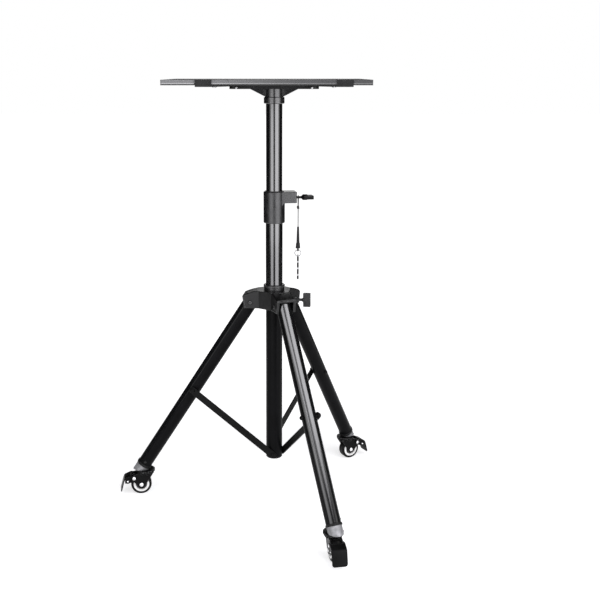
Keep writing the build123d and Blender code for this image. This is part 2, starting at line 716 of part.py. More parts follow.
def make_fork():
    """A crown with two tapered cheeks that carry the axle and the pedal's rivets."""
    crown = rod(CROWN_RADIUS, crown_bottom_z, crown_top_z)
    half_top = sqrt(CROWN_RADIUS**2 - cheek_inside**2)
    axle_eye = Pos(CASTER_TRAIL, wheel_radius) * Circle(CHEEK_EYE_RADIUS)
    pedal_eye = Pos(PEDAL_PIVOT_X, pedal_pivot_z) * Circle(PEDAL_EYE_RADIUS)
    head = Pos(0, (crown_bottom_z + crown_top_z) / 2) * Rectangle(2 * half_top, CROWN_THICKNESS)
    outline = make_hull(axle_eye.edges() + pedal_eye.edges() + head.edges())
    cheek = plate_xz(outline, cheek_inside, cheek_outside)
    fork = crown + cheek + plate_xz(outline, -cheek_outside, -cheek_inside)
    fork -= rod(KINGPIN_RADIUS + PIVOT_FIT, 0, crown_top_z + PAST)
    fork -= rod(KINGPIN_HEAD_RADIUS + FACE_GAP, 0, crown_bottom_z + KINGPIN_HEAD_HEIGHT / 2 + FACE_GAP)
    fork -= Pos(CASTER_TRAIL, 0, wheel_radius) * to_y(
        rod(AXLE_RADIUS + SEAT_FIT, -cheek_outside - PAST, cheek_outside + PAST)
    )
    fork -= Pos(PEDAL_PIVOT_X, 0, pedal_pivot_z) * to_y(
        rod(PEDAL_RIVET_RADIUS + SEAT_FIT, -cheek_outside - PAST, cheek_outside + PAST)
    )
    return fork


def make_caster_pins():
    """The wheel's axle bolt, headed outside each cheek, and the two rivets that the pedal's ears turn on."""
    head = domed_head(AXLE_HEAD_RADIUS, AXLE_HEAD_HEIGHT, cheek_outside)
    axle = rod(AXLE_RADIUS, -cheek_outside, cheek_outside) + head + Rot(180, 0, 0) * head
    rivet_end = pedal_half_width + FACE_GAP
    rivet = rod(PEDAL_RIVET_RADIUS, cheek_inside, rivet_end)
    rivet += domed_head(PEDAL_RIVET_HEAD_RADIUS, PEDAL_RIVET_HEAD_HEIGHT, rivet_end)
    axle_place = Pos(CASTER_TRAIL, 0, wheel_radius)
    rivet_place = Pos(PEDAL_PIVOT_X, 0, pedal_pivot_z)
    return Compound(
        [axle_place * to_y(axle), rivet_place * to_y(rivet), rivet_place * Rot(0, 0, 180) * to_y(rivet)]
    )


def make_tyre():
    inner = wheel_radius - TYRE_THICKNESS
    half = TYRE_WIDTH / 2
    tread = turned([(inner, -half), (wheel_radius, -half), (wheel_radius, half), (inner, half)])
    tread = fillet(tread.edges().filter_by(GeomType.CIRCLE).sort_by(SortBy.RADIUS)[-2:], TYRE_THICKNESS / 2)
    return Pos(CASTER_TRAIL, 0, wheel_radius) * to_y(tread)


def make_core():
    """The wheel's centre, with a raised ring on both faces and a bore for the axle."""
    outer = wheel_radius - TYRE_THICKNESS - SEAT_FIT
    half = TYRE_WIDTH / 2
    core = tube(outer, AXLE_RADIUS + PIVOT_FIT, -half, half)
    ring = tube(CORE_RING_OUTER, CORE_RING_INNER, half - CORE_GROOVE_DEPTH, half + CORE_FACE_STEP)
    groove = tube(CORE_RING_INNER, CORE_BOSS_RADIUS, half - CORE_GROOVE_DEPTH, half)
    core -= groove + Rot(180, 0, 0) * groove
    core += ring + Rot(180, 0, 0) * ring
    return Pos(CASTER_TRAIL, 0, wheel_radius) * to_y(core)


def make_pedal():
    """A bent foot plate with two ears outside the fork's cheeks, and a cross pin between the ears."""
    crest_x = PEDAL_PIVOT_X + PEDAL_CREST_REACH
    crest_z = pedal_pivot_z + PEDAL_CREST_RISE
    back_x = PEDAL_PIVOT_X + PEDAL_BACK_REACH
    back_z = pedal_pivot_z + PEDAL_EYE_RADIUS
    top = Line((back_x, back_z), (crest_x, crest_z))
    fall = JernArc((crest_x, crest_z), top % 1, -PEDAL_BEND_RADIUS, PEDAL_BEND_ANGLE)
    toe = Line(fall @ 1, (PEDAL_TIP_X, PEDAL_TIP_Z))
    spine = Wire([top, fall, toe])
    plate = make_face(offset(spine, PEDAL_PLATE / 2, side=Side.BOTH))
    pedal = plate_xz(plate, -pedal_half_width, pedal_half_width)
    eye = Pos(PEDAL_PIVOT_X, pedal_pivot_z) * Circle(PEDAL_EYE_RADIUS)
    shoulder = Polyline((back_x, back_z), (crest_x, crest_z), fall @ 0.6)
    pin_x = PEDAL_PIVOT_X + PEDAL_PIN_REACH
    pin_z = pedal_pivot_z - PEDAL_PIN_DROP
    pin_eye = Pos(pin_x, pin_z) * Circle(PEDAL_PIN_EYE)
    ear_face = make_hull(eye.edges() + pin_eye.edges() + shoulder.edges())
    for side in (-1, 1):
        start = min(side * ear_inside, side * (ear_inside + PEDAL_EAR))
        pedal += plate_xz(ear_face, start, start + PEDAL_EAR)
    pin_half = pedal_half_width + PEDAL_RIVET_HEAD_HEIGHT
    pedal += Pos(pin_x, 0, pin_z) * to_y(rod(PEDAL_PIN_RADIUS, -pin_half, pin_half))
    reach = pedal_half_width + PAST
    pedal -= Pos(PEDAL_PIVOT_X, 0, pedal_pivot_z) * to_y(rod(PEDAL_RIVET_RADIUS + PIVOT_FIT, -reach, reach))
    return pedal


# Lanyard: a doubled cord hung on the clamp screw, with a crimp, a ring and the safety pin
lanyard_place = Rot(0, 0, CLAMP_AZIMUTH) * Pos(LANYARD_R, 0, 0)


def cord_radii(points):
    """The largest arc for each corner that leaves a tenth of the shorter run straight."""
    radii = []
    for before, corner, after in zip(points, points[1:], points[2:]):
        run_in = Vector(*corner) - Vector(*before)
        run_out = Vector(*after) - Vector(*corner)
        turn = radians(run_in.get_angle(run_out))
        radii.append(CORD_ARC_SHARE * min(run_in.length, run_out.length) / tan(turn / 2))
    return radii


def make_cord():
    radii = cord_radii(cord_route)
    print("cord radii", [round(radius, 1) for radius in radii])
    path = Plane.YZ * FilletPolyline(*cord_route, radius=radii)
    section = Plane(origin=path @ 0, z_dir=path % 0) * Circle(CORD_RADIUS)
    return lanyard_place * sweep(section, path=path)


def make_crimp():
    bottom = crimp_top_z - CRIMP_HEIGHT
    eye_z = ring_centre_z + RING_RADIUS
    body = turned(
        [
            (0, bottom),
            (CRIMP_BOTTOM_RADIUS, bottom),
            (CRIMP_TOP_RADIUS, crimp_top_z),
            (TAPER_BOTTOM_RADIUS, crimp_top_z),
            (TAPER_TOP_RADIUS, taper_top_z),
            (0, taper_top_z),
        ]
    )
    tab = Pos(0, 0, eye_z) * to_x(rod(EYE_RADIUS, -EYE_THICKNESS / 2, EYE_THICKNESS / 2))
    tab += Pos(0, 0, eye_z) * Box(EYE_THICKNESS, 2 * EYE_RADIUS, bottom - eye_z + PAST, align=UP)
    tab -= Pos(0, 0, eye_z) * to_x(rod(EYE_HOLE_RADIUS, -EYE_THICKNESS, EYE_THICKNESS))
    return lanyard_place * (body + tab)


def make_lanyard_ring():
    return lanyard_place * Pos(0, 0, ring_centre_z) * Rot(90, 0, 0) * Torus(RING_RADIUS, RING_WIRE_RADIUS)


def make_safety_pin():
    eye_z = ring_centre_z - RING_RADIUS
    tip_z = eye_z - SAFETY_PIN_LENGTH
    pin = rod(SAFETY_PIN_RADIUS, tip_z + SAFETY_PIN_RADIUS, eye_z - (EYE_HOLE_RADIUS + EYE_RADIUS) / 2)
    pin += Pos(0, 0, tip_z + SAFETY_PIN_RADIUS) * Sphere(SAFETY_PIN_RADIUS)
    pin += Pos(0, 0, eye_z) * to_x(rod(EYE_RADIUS, -EYE_THICKNESS / 2, EYE_THICKNESS / 2))
    pin -= Pos(0, 0, eye_z) * to_x(rod(EYE_HOLE_RADIUS, -EYE_THICKNESS, EYE_THICKNESS))
    return lanyard_place * pin


# Every piece by its name
pieces = {
    "tray_panel": make_tray(),
    "tray_bracket": make_tray_bracket(),
    "mast_head": make_mast_head(),
    "head_bolts": make_head_bolts(),
    "upper_mast": make_upper_mast(),
    "mast_guide": make_mast_guide(),
    "lower_tube": make_lower_tube(),
    "tube_plug": make_tube_plug(),
    "mast_clamp": make_clamp(),
    "clamp_knob": make_clamp_knob(),
    "lanyard_cord": make_cord(),
    "lanyard_crimp": make_crimp(),
    "lanyard_ring": make_lanyard_ring(),
    "safety_pin": make_safety_pin(),
    "hub": make_hub(),
    "hub_ring": make_hub_ring(),
    "hub_pins": make_hub_pins(),
    "hub_knob": make_hub_knob(),
    "brace_studs": make_brace_studs(),
}
leg_pieces = {
    "leg_tube": make_leg_tube(),
    "leg_ring": make_leg_ring(),
    "foot": make_foot(),
    "leg_bolt": make_leg_bolt(),
    "brace": make_brace(),
}
caster_pieces = {
    "caster_housing": make_housing(),
    "caster_fork": make_fork(),
    "caster_pins": make_caster_pins(),
    "tyre": make_tyre(),
    "wheel_core": make_core(),
    "brake_pedal": make_pedal(),
}
for name, azimuth in leg_azimuths.items():
    for piece, solid in leg_pieces.items():
        pieces[f"{piece}_{name}"] = Rot(0, 0, azimuth) * solid
    caster_place = Rot(0, 0, azimuth) * Pos(CASTER_STEM_R, 0, 0) * Rot(0, 0, caster_turns[name])
    for piece, solid in caster_pieces.items():
        pieces[f"{piece}_{name}"] = caster_place * solid

os.makedirs("parts", exist_ok=True)
for name, solid in pieces.items():
    export_step(solid, f"parts/{name}.step")
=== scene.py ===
import math

import bmesh
import bpy
import numpy as np
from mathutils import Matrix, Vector


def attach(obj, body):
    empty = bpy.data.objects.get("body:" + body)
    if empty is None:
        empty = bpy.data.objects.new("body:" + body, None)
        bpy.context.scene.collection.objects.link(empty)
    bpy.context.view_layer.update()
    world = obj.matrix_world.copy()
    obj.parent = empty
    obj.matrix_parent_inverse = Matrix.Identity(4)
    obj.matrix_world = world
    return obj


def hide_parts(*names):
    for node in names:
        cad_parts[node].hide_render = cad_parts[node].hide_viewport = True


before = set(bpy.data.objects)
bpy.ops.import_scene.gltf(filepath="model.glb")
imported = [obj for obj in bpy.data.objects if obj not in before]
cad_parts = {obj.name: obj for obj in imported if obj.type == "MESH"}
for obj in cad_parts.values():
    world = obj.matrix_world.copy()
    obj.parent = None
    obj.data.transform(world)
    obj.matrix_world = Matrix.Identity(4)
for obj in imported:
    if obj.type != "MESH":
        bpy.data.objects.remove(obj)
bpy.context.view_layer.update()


# Studio
# The stand is photographed on a seamless white sweep: soft panels stand low and high at both sides, with weak
# ones high in the middle and overhead, and a dark tent with a low skirt keeps the black tubes' edges black.
def add(tree, kind, sockets=None, **settings):
    """One shader node: its settings, then its sockets, each linked from another or set to a value."""
    node = tree.nodes.new("ShaderNode" + kind)
    for key, value in settings.items():
        setattr(node, key, value)
    for key, value in (sockets or {}).items():
        if isinstance(value, bpy.types.NodeSocket):
            tree.links.new(value, node.inputs[key])
        else:
            node.inputs[key].default_value = value
    return node


def math_node(tree, operation, *values, clamp=False):
    """The result of one Math node on two or three sockets or numbers."""
    return add(tree, "Math", dict(enumerate(values)), operation=operation, use_clamp=clamp).outputs[0]


def seen_directly(tree):
    """1 for rays that show the background: from the camera, mirrored or let through."""
    rays = add(tree, "LightPath").outputs
    mirrored = math_node(tree, "ADD", rays["Is Glossy Ray"], rays["Is Transmission Ray"])
    return math_node(tree, "ADD", rays["Is Camera Ray"], mirrored, clamp=True)


PANEL_TINT = (0.965, 0.96, 1.0)
PANEL_GAIN = 4


def soft_panel(name, centre, aim, width, height, radiance):
    """A rectangular lamp of an even brightness that faces a point."""
    lamp = bpy.data.lights.new(name, "AREA")
    lamp.shape = "RECTANGLE"
    lamp.size = width
    lamp.size_y = height
    lamp.energy = PANEL_GAIN * width * height * radiance
    lamp.color = PANEL_TINT
    panel = bpy.data.objects.new(name, lamp)
    panel.location = centre
    panel.rotation_euler = (Vector(aim) - Vector(centre)).to_track_quat("-Z", "Y").to_euler()
    bpy.context.scene.collection.objects.link(panel)


SKY_SEEN = 1.0
SKY_LIGHT = 0.15
world = bpy.data.worlds.new("white_sweep")
world.use_nodes = True
bpy.context.scene.world = world
sky = world.node_tree
sky_level = math_node(sky, "MULTIPLY_ADD", seen_directly(sky), SKY_SEEN - SKY_LIGHT, SKY_LIGHT)
sky.nodes["Background"].inputs["Color"].default_value = (1, 1, 1, 1)
sky.links.new(sky_level, sky.nodes["Background"].inputs["Strength"])

FLOOR_REACH = 20
PAPER_DARK = 0.80
PAPER_LIGHT = 0.84
GLOW_NEAR = 0.6
GLOW_NEAR_RADIUS = 0.35
GLOW_FAR = 0.98
GLOW_FAR_RADIUS = 1.2
floor_corners = FLOOR_REACH * np.array([(-1, -1, 0), (1, -1, 0), (1, 1, 0), (-1, 1, 0)])
floor_mesh = bpy.data.meshes.new("floor")
floor_mesh.from_pydata(floor_corners, [], [(0, 1, 2, 3)])
floor = bpy.data.objects.new("floor", floor_mesh)
bpy.context.scene.collection.objects.link(floor)
floor_paper = bpy.data.materials.new("floor_paper")
floor_paper.use_nodes = True
paper = floor_paper.node_tree
paper.nodes.remove(paper.nodes["Principled BSDF"])
fibre = add(paper, "TexNoise", {"Scale": 40.0, "Detail": 4.0}).outputs["Fac"]
tone = add(paper, "MapRange", {"Value": fibre, "To Min": PAPER_DARK, "To Max": PAPER_LIGHT}).outputs["Result"]
matt = add(paper, "BsdfDiffuse", {"Color": tone})
floor_place = add(paper, "TexCoord").outputs["Object"]
spread = add(paper, "VectorMath", {0: floor_place}, operation="LENGTH").outputs["Value"]
glow_level = add(
    paper,
    "MapRange",
    {
        "Value": spread,
        "From Min": GLOW_NEAR_RADIUS,
        "From Max": GLOW_FAR_RADIUS,
        "To Min": GLOW_NEAR,
        "To Max": GLOW_FAR,
    },
).outputs["Result"]
glow = add(paper, "Emission", {"Strength": math_node(paper, "MULTIPLY", seen_directly(paper), glow_level)})
both = add(paper, "AddShader", {0: matt.outputs[0], 1: glow.outputs[0]})
paper.links.new(both.outputs[0], paper.nodes["Material Output"].inputs["Surface"])
floor.data.materials.append(floor_paper)

TENT_RADIUS = 3.0
SKIRT_RADIUS = 1.75
card_black = bpy.data.materials.new("card_black")
card_black.use_nodes = True
card_shader = card_black.node_tree.nodes["Principled BSDF"]
card_shader.inputs["Base Color"].default_value = (0.01, 0.01, 0.01, 1)
card_shader.inputs["Roughness"].default_value = 0.9


def tent_wall(name, azimuths, elevations, radius=TENT_RADIUS, steps=24):
    """A piece of a dark sphere: R (cos e sin a, -cos e cos a, sin e), a from the camera's side, e up."""
    turn = np.radians(np.linspace(*azimuths, steps))[:, None]
    rise = np.radians(np.linspace(*elevations, steps))[None, :]
    sideways = np.cos(rise) * np.sin(turn)
    back = -np.cos(rise) * np.cos(turn)
    grid = np.stack([sideways, back, np.sin(rise) + 0 * turn], axis=-1)
    corner = (np.arange(steps - 1)[:, None] * steps + np.arange(steps - 1)[None, :]).ravel()
    faces = np.column_stack([corner, corner + steps, corner + steps + 1, corner + 1])
    mesh = bpy.data.meshes.new(name)
    mesh.from_pydata((radius * grid).reshape(-1, 3), [], faces.tolist())
    mesh.materials.append(card_black)
    wall = bpy.data.objects.new(name, mesh)
    bpy.context.scene.collection.objects.link(wall)
    wall.visible_camera = False
    wall.visible_diffuse = False
    wall.visible_shadow = False


tent_wall("tent_left", (-172, -64), (0, 62))
tent_wall("tent_right", (78, 172), (0, 62))
tent_wall("tent_front", (-64, 78), (31, 62))
tent_wall("tent_camera", (-7, 7), (1, 31))
tent_wall("tent_top", (-180, 180), (60, 90))
tent_wall("tent_skirt", (-180, 180), (0, 9), radius=SKIRT_RADIUS, steps=72)
soft_panel("left_panel", (-0.763, -1.406, 0.41), (0, 0, 0.41), 1.01, 0.80, 2.1)
soft_panel("left_middle_panel", (-0.763, -1.406, 0.98), (0, 0, 0.98), 1.01, 0.32, 0.6)
soft_panel("left_upper_panel", (-1.0, -1.25, 1.45), (0, 0, 1.0), 1.35, 0.6, 2.5)
soft_panel("right_panel", (0.996, -1.252, 0.44), (0, 0, 0.44), 1.39, 0.88, 2.6)
soft_panel("right_upper_panel", (1.08, -1.18, 1.75), (0, 0, 1.0), 1.9, 1.0, 3.3)
soft_panel("middle_upper_panel", (0.05, -1.62, 1.6), (0, 0, 1.0), 0.55, 0.8, 1.1)
soft_panel("top_panel", (0, -0.2, 2.6), (0, 0, 0), 1.6, 1.6, 1.0)

PHOTO_PIXELS = 600
FOCAL_PIXELS = 951.8
AXIS_PIXEL_X = 274.18
AXIS_PIXEL_Y = 311.57
CAMERA_PLACE = (0, -1.9585, 0.921)
CAMERA_DROP = 14.1
SENSOR_WIDTH = 36.0
eye = bpy.data.cameras.new("photo_camera")
eye.sensor_width = SENSOR_WIDTH
eye.lens = SENSOR_WIDTH * FOCAL_PIXELS / PHOTO_PIXELS
eye.shift_x = (PHOTO_PIXELS / 2 - AXIS_PIXEL_X) / PHOTO_PIXELS
eye.shift_y = (AXIS_PIXEL_Y - PHOTO_PIXELS / 2) / PHOTO_PIXELS
camera = bpy.data.objects.new("photo_camera", eye)
camera.location = CAMERA_PLACE
camera.rotation_euler = (math.radians(90 - CAMERA_DROP), 0, 0)
bpy.context.scene.collection.objects.link(camera)
bpy.context.scene.camera = camera
bpy.context.scene.view_settings.view_transform = "Standard"


# Lower tube and its plug
# A drawn steel tube under gloss black enamel, closed at the bottom by a moulded plug.
# The hub slides on its upper part, which stays bright; below the hub the enamel is dull.
ENAMEL_DARK = (0.0028, 0.0028, 0.0030)
ENAMEL_LIGHT = (0.0045, 0.0045, 0.0050)
PRIMER_GREY = (0.10, 0.10, 0.105)
DULL_BELOW_Z = 0.440
GLOSS_ABOVE_Z = 0.475


def grey(tone):
    """A neutral colour."""
    return (tone, tone, tone)


def shader_group(name, inputs, outputs):
    """An empty shader node group with named sockets: its tree, its inputs and its outputs."""
    tree = bpy.data.node_groups.new(name, "ShaderNodeTree")
    for socket, kind, value in inputs:
        made = tree.interface.new_socket(socket, in_out="INPUT", socket_type="NodeSocket" + kind)
        if kind == "Float":
            made.default_value = value
    for socket, kind in outputs:
        tree.interface.new_socket(socket, in_out="OUTPUT", socket_type="NodeSocket" + kind)
    return tree, tree.nodes.new("NodeGroupInput").outputs, tree.nodes.new("NodeGroupOutput").inputs


def use_group(tree, group, sockets):
    """Places a node group in a material and returns its outputs."""
    return add(tree, "Group", sockets, node_tree=group).outputs


def blend_colour(tree, share, first, second):
    """A mix of two colours, each a socket or three numbers."""
    mix = tree.nodes.new("ShaderNodeMix")
    mix.data_type = "RGBA"
    for index, value in ((0, share), (6, first), (7, second)):
        if isinstance(value, bpy.types.NodeSocket):
            tree.links.new(value, mix.inputs[index])
        elif index == 0:
            mix.inputs[index].default_value = value
        else:
            mix.inputs[index].default_value = (*value, 1)
    return mix.outputs[2]


def ramp(tree, value, low, high, start=0.0, end=1.0):
    """A smooth step of a value from start to end as it goes from low to high."""
    return add(
        tree,
        "MapRange",
        {"Value": value, "From Min": low, "From Max": high, "To Min": start, "To Max": end},
        interpolation_type="SMOOTHSTEP",
    ).outputs["Result"]


# Paint skin: slow mottling of the coat and the fine orange peel of a sprayed film
paint_skin, skin_in, skin_out = shader_group(
    "paint_skin",
    [("Vector", "Vector", None), ("Mottle Scale", "Float", 14.0), ("Peel Scale", "Float", 900.0)],
    [("Mottle", "Float"), ("Peel", "Float")],
)
spot = skin_in["Vector"]
mottle = add(paint_skin, "TexNoise", {"Vector": spot, "Scale": skin_in["Mottle Scale"], "Detail": 5.0})
peel = add(paint_skin, "TexNoise", {"Vector": spot, "Scale": skin_in["Peel Scale"], "Detail": 2.0})
paint_skin.links.new(ramp(paint_skin, mottle.outputs["Fac"], 0.3, 0.7), skin_out["Mottle"])
paint_skin.links.new(peel.outputs["Fac"], skin_out["Peel"])

# Edge wear and highlight: how far the normal turns within a small radius, broken up by noise, and the eased
# normal itself. The mask paints edges pale, partly as wear and partly as painted highlight
edge_wear_and_highlight, edge_in, edge_out = shader_group(
    "edge_wear_and_highlight",
    [("Vector", "Vector", None), ("Radius", "Float", 0.0008), ("Break Scale", "Float", 160.0)],
    [("Mask", "Float"), ("Normal", "Vector")],
)
eased = add(edge_wear_and_highlight, "Bevel", {"Radius": edge_in["Radius"]}, samples=6).outputs["Normal"]
true_normal = add(edge_wear_and_highlight, "NewGeometry").outputs["Normal"]
facing = add(edge_wear_and_highlight, "VectorMath", {0: eased, 1: true_normal}, operation="DOT_PRODUCT").outputs["Value"]
turn = ramp(edge_wear_and_highlight, math_node(edge_wear_and_highlight, "SUBTRACT", 1.0, facing), 0.02, 0.16)
spot = edge_in["Vector"]
breakup_noise = add(edge_wear_and_highlight, "TexNoise", {"Vector": spot, "Scale": edge_in["Break Scale"], "Detail": 6.0})
kept = ramp(edge_wear_and_highlight, breakup_noise.outputs["Fac"], 0.35, 0.62)
edge_wear_and_highlight.links.new(math_node(edge_wear_and_highlight, "MULTIPLY", turn, kept), edge_out["Mask"])
edge_wear_and_highlight.links.new(eased, edge_out["Normal"])


def blank_material(name):
    """A new material: itself, its tree, its Principled shader and its Object coordinates."""
    material = bpy.data.materials.new(name)
    material.use_nodes = True
    tree = material.node_tree
    return material, tree, tree.nodes["Principled BSDF"], add(tree, "TexCoord").outputs["Object"]


def bump_from(tree, shader, strength, distance, height, **smooth):
    """Bumps a shader's surface by a height, over a smoothed normal where one is given."""
    bump = add(tree, "Bump", {"Strength": strength, "Distance": distance, "Height": height, **smooth})
    tree.links.new(bump.outputs["Normal"], shader.inputs["Normal"])


def black_enamel(name):
    """Sprayed black enamel: mottled colour and roughness, orange peel, and edges rubbed to grey primer."""
    material, tree, shader, place = blank_material(name)
    skin = use_group(tree, paint_skin, {"Vector": place, "Mottle Scale": 22.0, "Peel Scale": 1100.0})
    edge = use_group(tree, edge_wear_and_highlight, {"Vector": place, "Radius": 0.0006})
    colour = blend_colour(tree, skin["Mottle"], ENAMEL_DARK, ENAMEL_LIGHT)
    rubbed = math_node(tree, "MULTIPLY", edge["Mask"], 0.5)
    colour = blend_colour(tree, rubbed, colour, PRIMER_GREY)
    tree.links.new(colour, shader.inputs["Base Color"])
    tree.links.new(ramp(tree, skin["Mottle"], 0.0, 1.0, 0.30, 0.42), shader.inputs["Roughness"])
    bump_from(tree, shader, 0.05, 0.0002, skin["Peel"], Normal=edge["Normal"])
    shader.inputs["Specular IOR Level"].default_value = 0.05
    shader.inputs["Coat IOR"].default_value = 2.0
    shader.inputs["Coat Roughness"].default_value = 0.13
    return material, tree, shader, place


def dress(material, *names):
    """Gives CAD nodes a material in place of their plain one."""
    for name in names:
        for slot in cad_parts[name].material_slots:
            slot.material = material


tube_enamel, tree, shader, place = black_enamel("tube_enamel")
height = add(tree, "SeparateXYZ", {0: place}).outputs["Z"]
tree.links.new(ramp(tree, height, DULL_BELOW_Z, GLOSS_ABOVE_Z), shader.inputs["Coat Weight"])
dress(tube_enamel, "lower_tube")

# Mould grain: the fine spark-eroded texture of a plastic mould, with a slow change of tone
mould_grain, grain_in, grain_out = shader_group(
    "mould_grain",
    [("Vector", "Vector", None), ("Scale", "Float", 1600.0)],
    [("Tone", "Float"), ("Height", "Float")],
)
cells = add(mould_grain, "TexVoronoi", {"Vector": grain_in["Vector"], "Scale": grain_in["Scale"]})
slow = add(mould_grain, "TexNoise", {"Vector": grain_in["Vector"], "Scale": 55.0, "Detail": 6.0})
mould_grain.links.new(slow.outputs["Fac"], grain_out["Tone"])
mould_grain.links.new(cells.outputs["Distance"], grain_out["Height"])


def moulded(name, dark, light, edge_highlight_tone, roughness, grain=1600.0, edge=0.0010, sheen=0.15):
    """Moulded plastic: grained, its tone drifting between two colours, with eased edges painted pale as
    highlights.
    """
    material, tree, shader, place = blank_material(name)
    skin = use_group(tree, mould_grain, {"Vector": place, "Scale": grain})
    rim = use_group(tree, edge_wear_and_highlight, {"Vector": place, "Radius": edge, "Break Scale": 90.0})
    colour = blend_colour(tree, ramp(tree, skin["Tone"], 0.3, 0.7), dark, light)
    # Painted highlight: the eased edges are blended towards a paler tone.
    colour = blend_colour(tree, math_node(tree, "MULTIPLY", rim["Mask"], 0.7), colour, edge_highlight_tone)
    tree.links.new(colour, shader.inputs["Base Color"])
    tree.links.new(
        ramp(tree, skin["Tone"], 0.25, 0.75, roughness - 0.06, roughness + 0.08), shader.inputs["Roughness"]
    )
    bump_from(tree, shader, 0.25, 0.0002, skin["Height"], Normal=rim["Normal"])
    shader.inputs["Specular IOR Level"].default_value = sheen
    return material, tree, shader, place


plug_plastic, *_ = moulded("plug_plastic", grey(0.011), grey(0.018), grey(0.05), roughness=0.48)
dress(plug_plastic, "tube_plug")


# Legs and their end rings
# Three steel tubes sprayed with the same enamel from the outside, so that their upper sides are glossy, and
# their undersides and scuffed lower ends dull. Each has a moulded ring over its end and a small screw.
LEG_AZIMUTHS = {"left": 173.28, "front": 293.28, "rear": 53.28}
LEG_SPLAY = math.radians(32.6)
LEG_PIVOT_R = 0.0485
LEG_PIVOT_Z = 0.452
LEG_RADIUS = 0.0155
LEG_SCREW_AT = 0.444
LEG_SCREW_RADIUS = 0.0030
LEG_SCREW_HEIGHT = 0.0014
SCUFF_LOW_Z = 0.05
SCUFF_HIGH_Z = 0.28
SCUFFED_COAT = 0.25
leg_enamel, tree, shader, place = black_enamel("leg_enamel")
leg_normal = add(tree, "TexCoord").outputs["Normal"]
upward = add(tree, "SeparateXYZ", {0: leg_normal}).outputs["Z"]
height = add(tree, "SeparateXYZ", {0: place}).outputs["Z"]
sprayed = ramp(tree, upward, 0.15, 0.38)
unscuffed = ramp(tree, height, SCUFF_LOW_Z, SCUFF_HIGH_Z, SCUFFED_COAT, 1.0)
tree.links.new(math_node(tree, "MULTIPLY", sprayed, unscuffed), shader.inputs["Coat Weight"])
dress(leg_enamel, *("leg_tube_" + leg for leg in LEG_AZIMUTHS))
ring_plastic, *_ = moulded("ring_plastic", grey(0.007), grey(0.012), grey(0.06), roughness=0.42)
dress(ring_plastic, *("leg_ring_" + leg for leg in LEG_AZIMUTHS))


WELD_WITHIN = 1e-7
SHARP_ANGLE = math.radians(35)


def new_piece(name, grids, material, body):
    """One piece riding on a body: surfaces through grids of points (along, round, 3), each closed round."""
    mesh = bpy.data.meshes.new(name)
    shell = bmesh.new()
    for points in grids:
        rows, columns = points.shape[:2]
        row, column = np.meshgrid(np.arange(rows - 1), np.arange(columns), indexing="ij")
        near = row * columns + column
        right = row * columns + (column + 1) % columns
        quads = np.stack([near, right, right + columns, near + columns], axis=-1)
        sheet = bpy.data.meshes.new(name + "_sheet")
        sheet.from_pydata(points.reshape(-1, 3), [], quads.reshape(-1, 4).tolist())
        shell.from_mesh(sheet)
        bpy.data.meshes.remove(sheet)
    bmesh.ops.remove_doubles(shell, verts=shell.verts, dist=WELD_WITHIN)
    bmesh.ops.recalc_face_normals(shell, faces=shell.faces)
    shell.to_mesh(mesh)
    shell.free()
    mesh.polygons.foreach_set("use_smooth", np.ones(len(mesh.polygons), dtype=bool))
    mesh.set_sharp_from_angle(angle=SHARP_ANGLE)
    mesh.materials.append(material)
    piece = bpy.data.objects.new(name, mesh)
    bpy.context.scene.collection.objects.link(piece)
    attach(piece, body)
    return piece


SLOT_HALF_WIDTH = 0.14
SLOT_HALF_LENGTH = 0.55
SLOT_DEPTH = 0.5
HEAD_SUNK = 0.4


def pan_head(name, seat, outward, radius, height, material, body):
    """A cross-slotted pan head: h(r, a) = H ((1 - (r/R)^4)^0.5 - D(r, a)), D sinking two crossed slots."""
    outward = np.array(outward) / np.linalg.norm(outward)
    askew = (0.36, 0.48, 0.80)
    first = np.cross(outward, askew)
    first /= np.linalg.norm(first)
    second = np.cross(outward, first)
    reach = np.concatenate([np.linspace(0.0, 1.0, 23), [1.0, 0.0]])[:, None]
    turn = np.linspace(0, 2 * np.pi, 48, endpoint=False)[None, :]
    x = reach * np.cos(turn)
    y = reach * np.sin(turn)
    upright = np.exp(-((x / SLOT_HALF_WIDTH) ** 4) - (y / SLOT_HALF_LENGTH) ** 6)
    level = np.exp(-((y / SLOT_HALF_WIDTH) ** 4) - (x / SLOT_HALF_LENGTH) ** 6)
    rise = height * (np.sqrt(np.clip(1 - reach**4, 0, 1)) - SLOT_DEPTH * np.clip(upright + level, 0, 1))
    rise[-2:] = -HEAD_SUNK * height
    place = radius * (x[..., None] * first + y[..., None] * second) + rise[..., None] * outward
    new_piece(name, [np.array(seat) + place], material, body)


screw_black, *_ = moulded("screw_black", grey(0.020), grey(0.035), grey(0.30), roughness=0.3, edge=0.0004)
for leg, azimuth in LEG_AZIMUTHS.items():
    out = np.array([math.cos(math.radians(azimuth)), math.sin(math.radians(azimuth)), 0.0])
    side = np.array([-out[1], out[0], 0.0])
    down = out * math.sin(LEG_SPLAY) - np.array([0.0, 0.0, math.cos(LEG_SPLAY)])
    pivot = LEG_PIVOT_R * out + np.array([0.0, 0.0, LEG_PIVOT_Z])
    seat = pivot + LEG_SCREW_AT * down + LEG_RADIUS * side
    pan_head(
        "leg_screw_" + leg,
        seat,
        side,
        LEG_SCREW_RADIUS,
        LEG_SCREW_HEIGHT,
        screw_black,
        "leg_" + leg,
    )


# Hub, its collar and its pins
# The hub is one glass-filled nylon moulding, satin black, its edges painted pale as highlights; a black
# collar is pressed into its top, and a riveted steel pin crosses each of its three clevises.
PEEN_INNER = 0.0019
PEEN_OUTER = 0.0032
hub_nylon, *_ = moulded(
    "hub_nylon", grey(0.004), grey(0.008), grey(0.16), roughness=0.34, grain=1300.0, edge=0.0016, sheen=0.28
)
dress(hub_nylon, "hub")
collar_plastic, *_ = moulded(
    "collar_plastic", grey(0.010), grey(0.016), grey(0.12), roughness=0.3, sheen=0.6
)
dress(collar_plastic, "hub_ring")

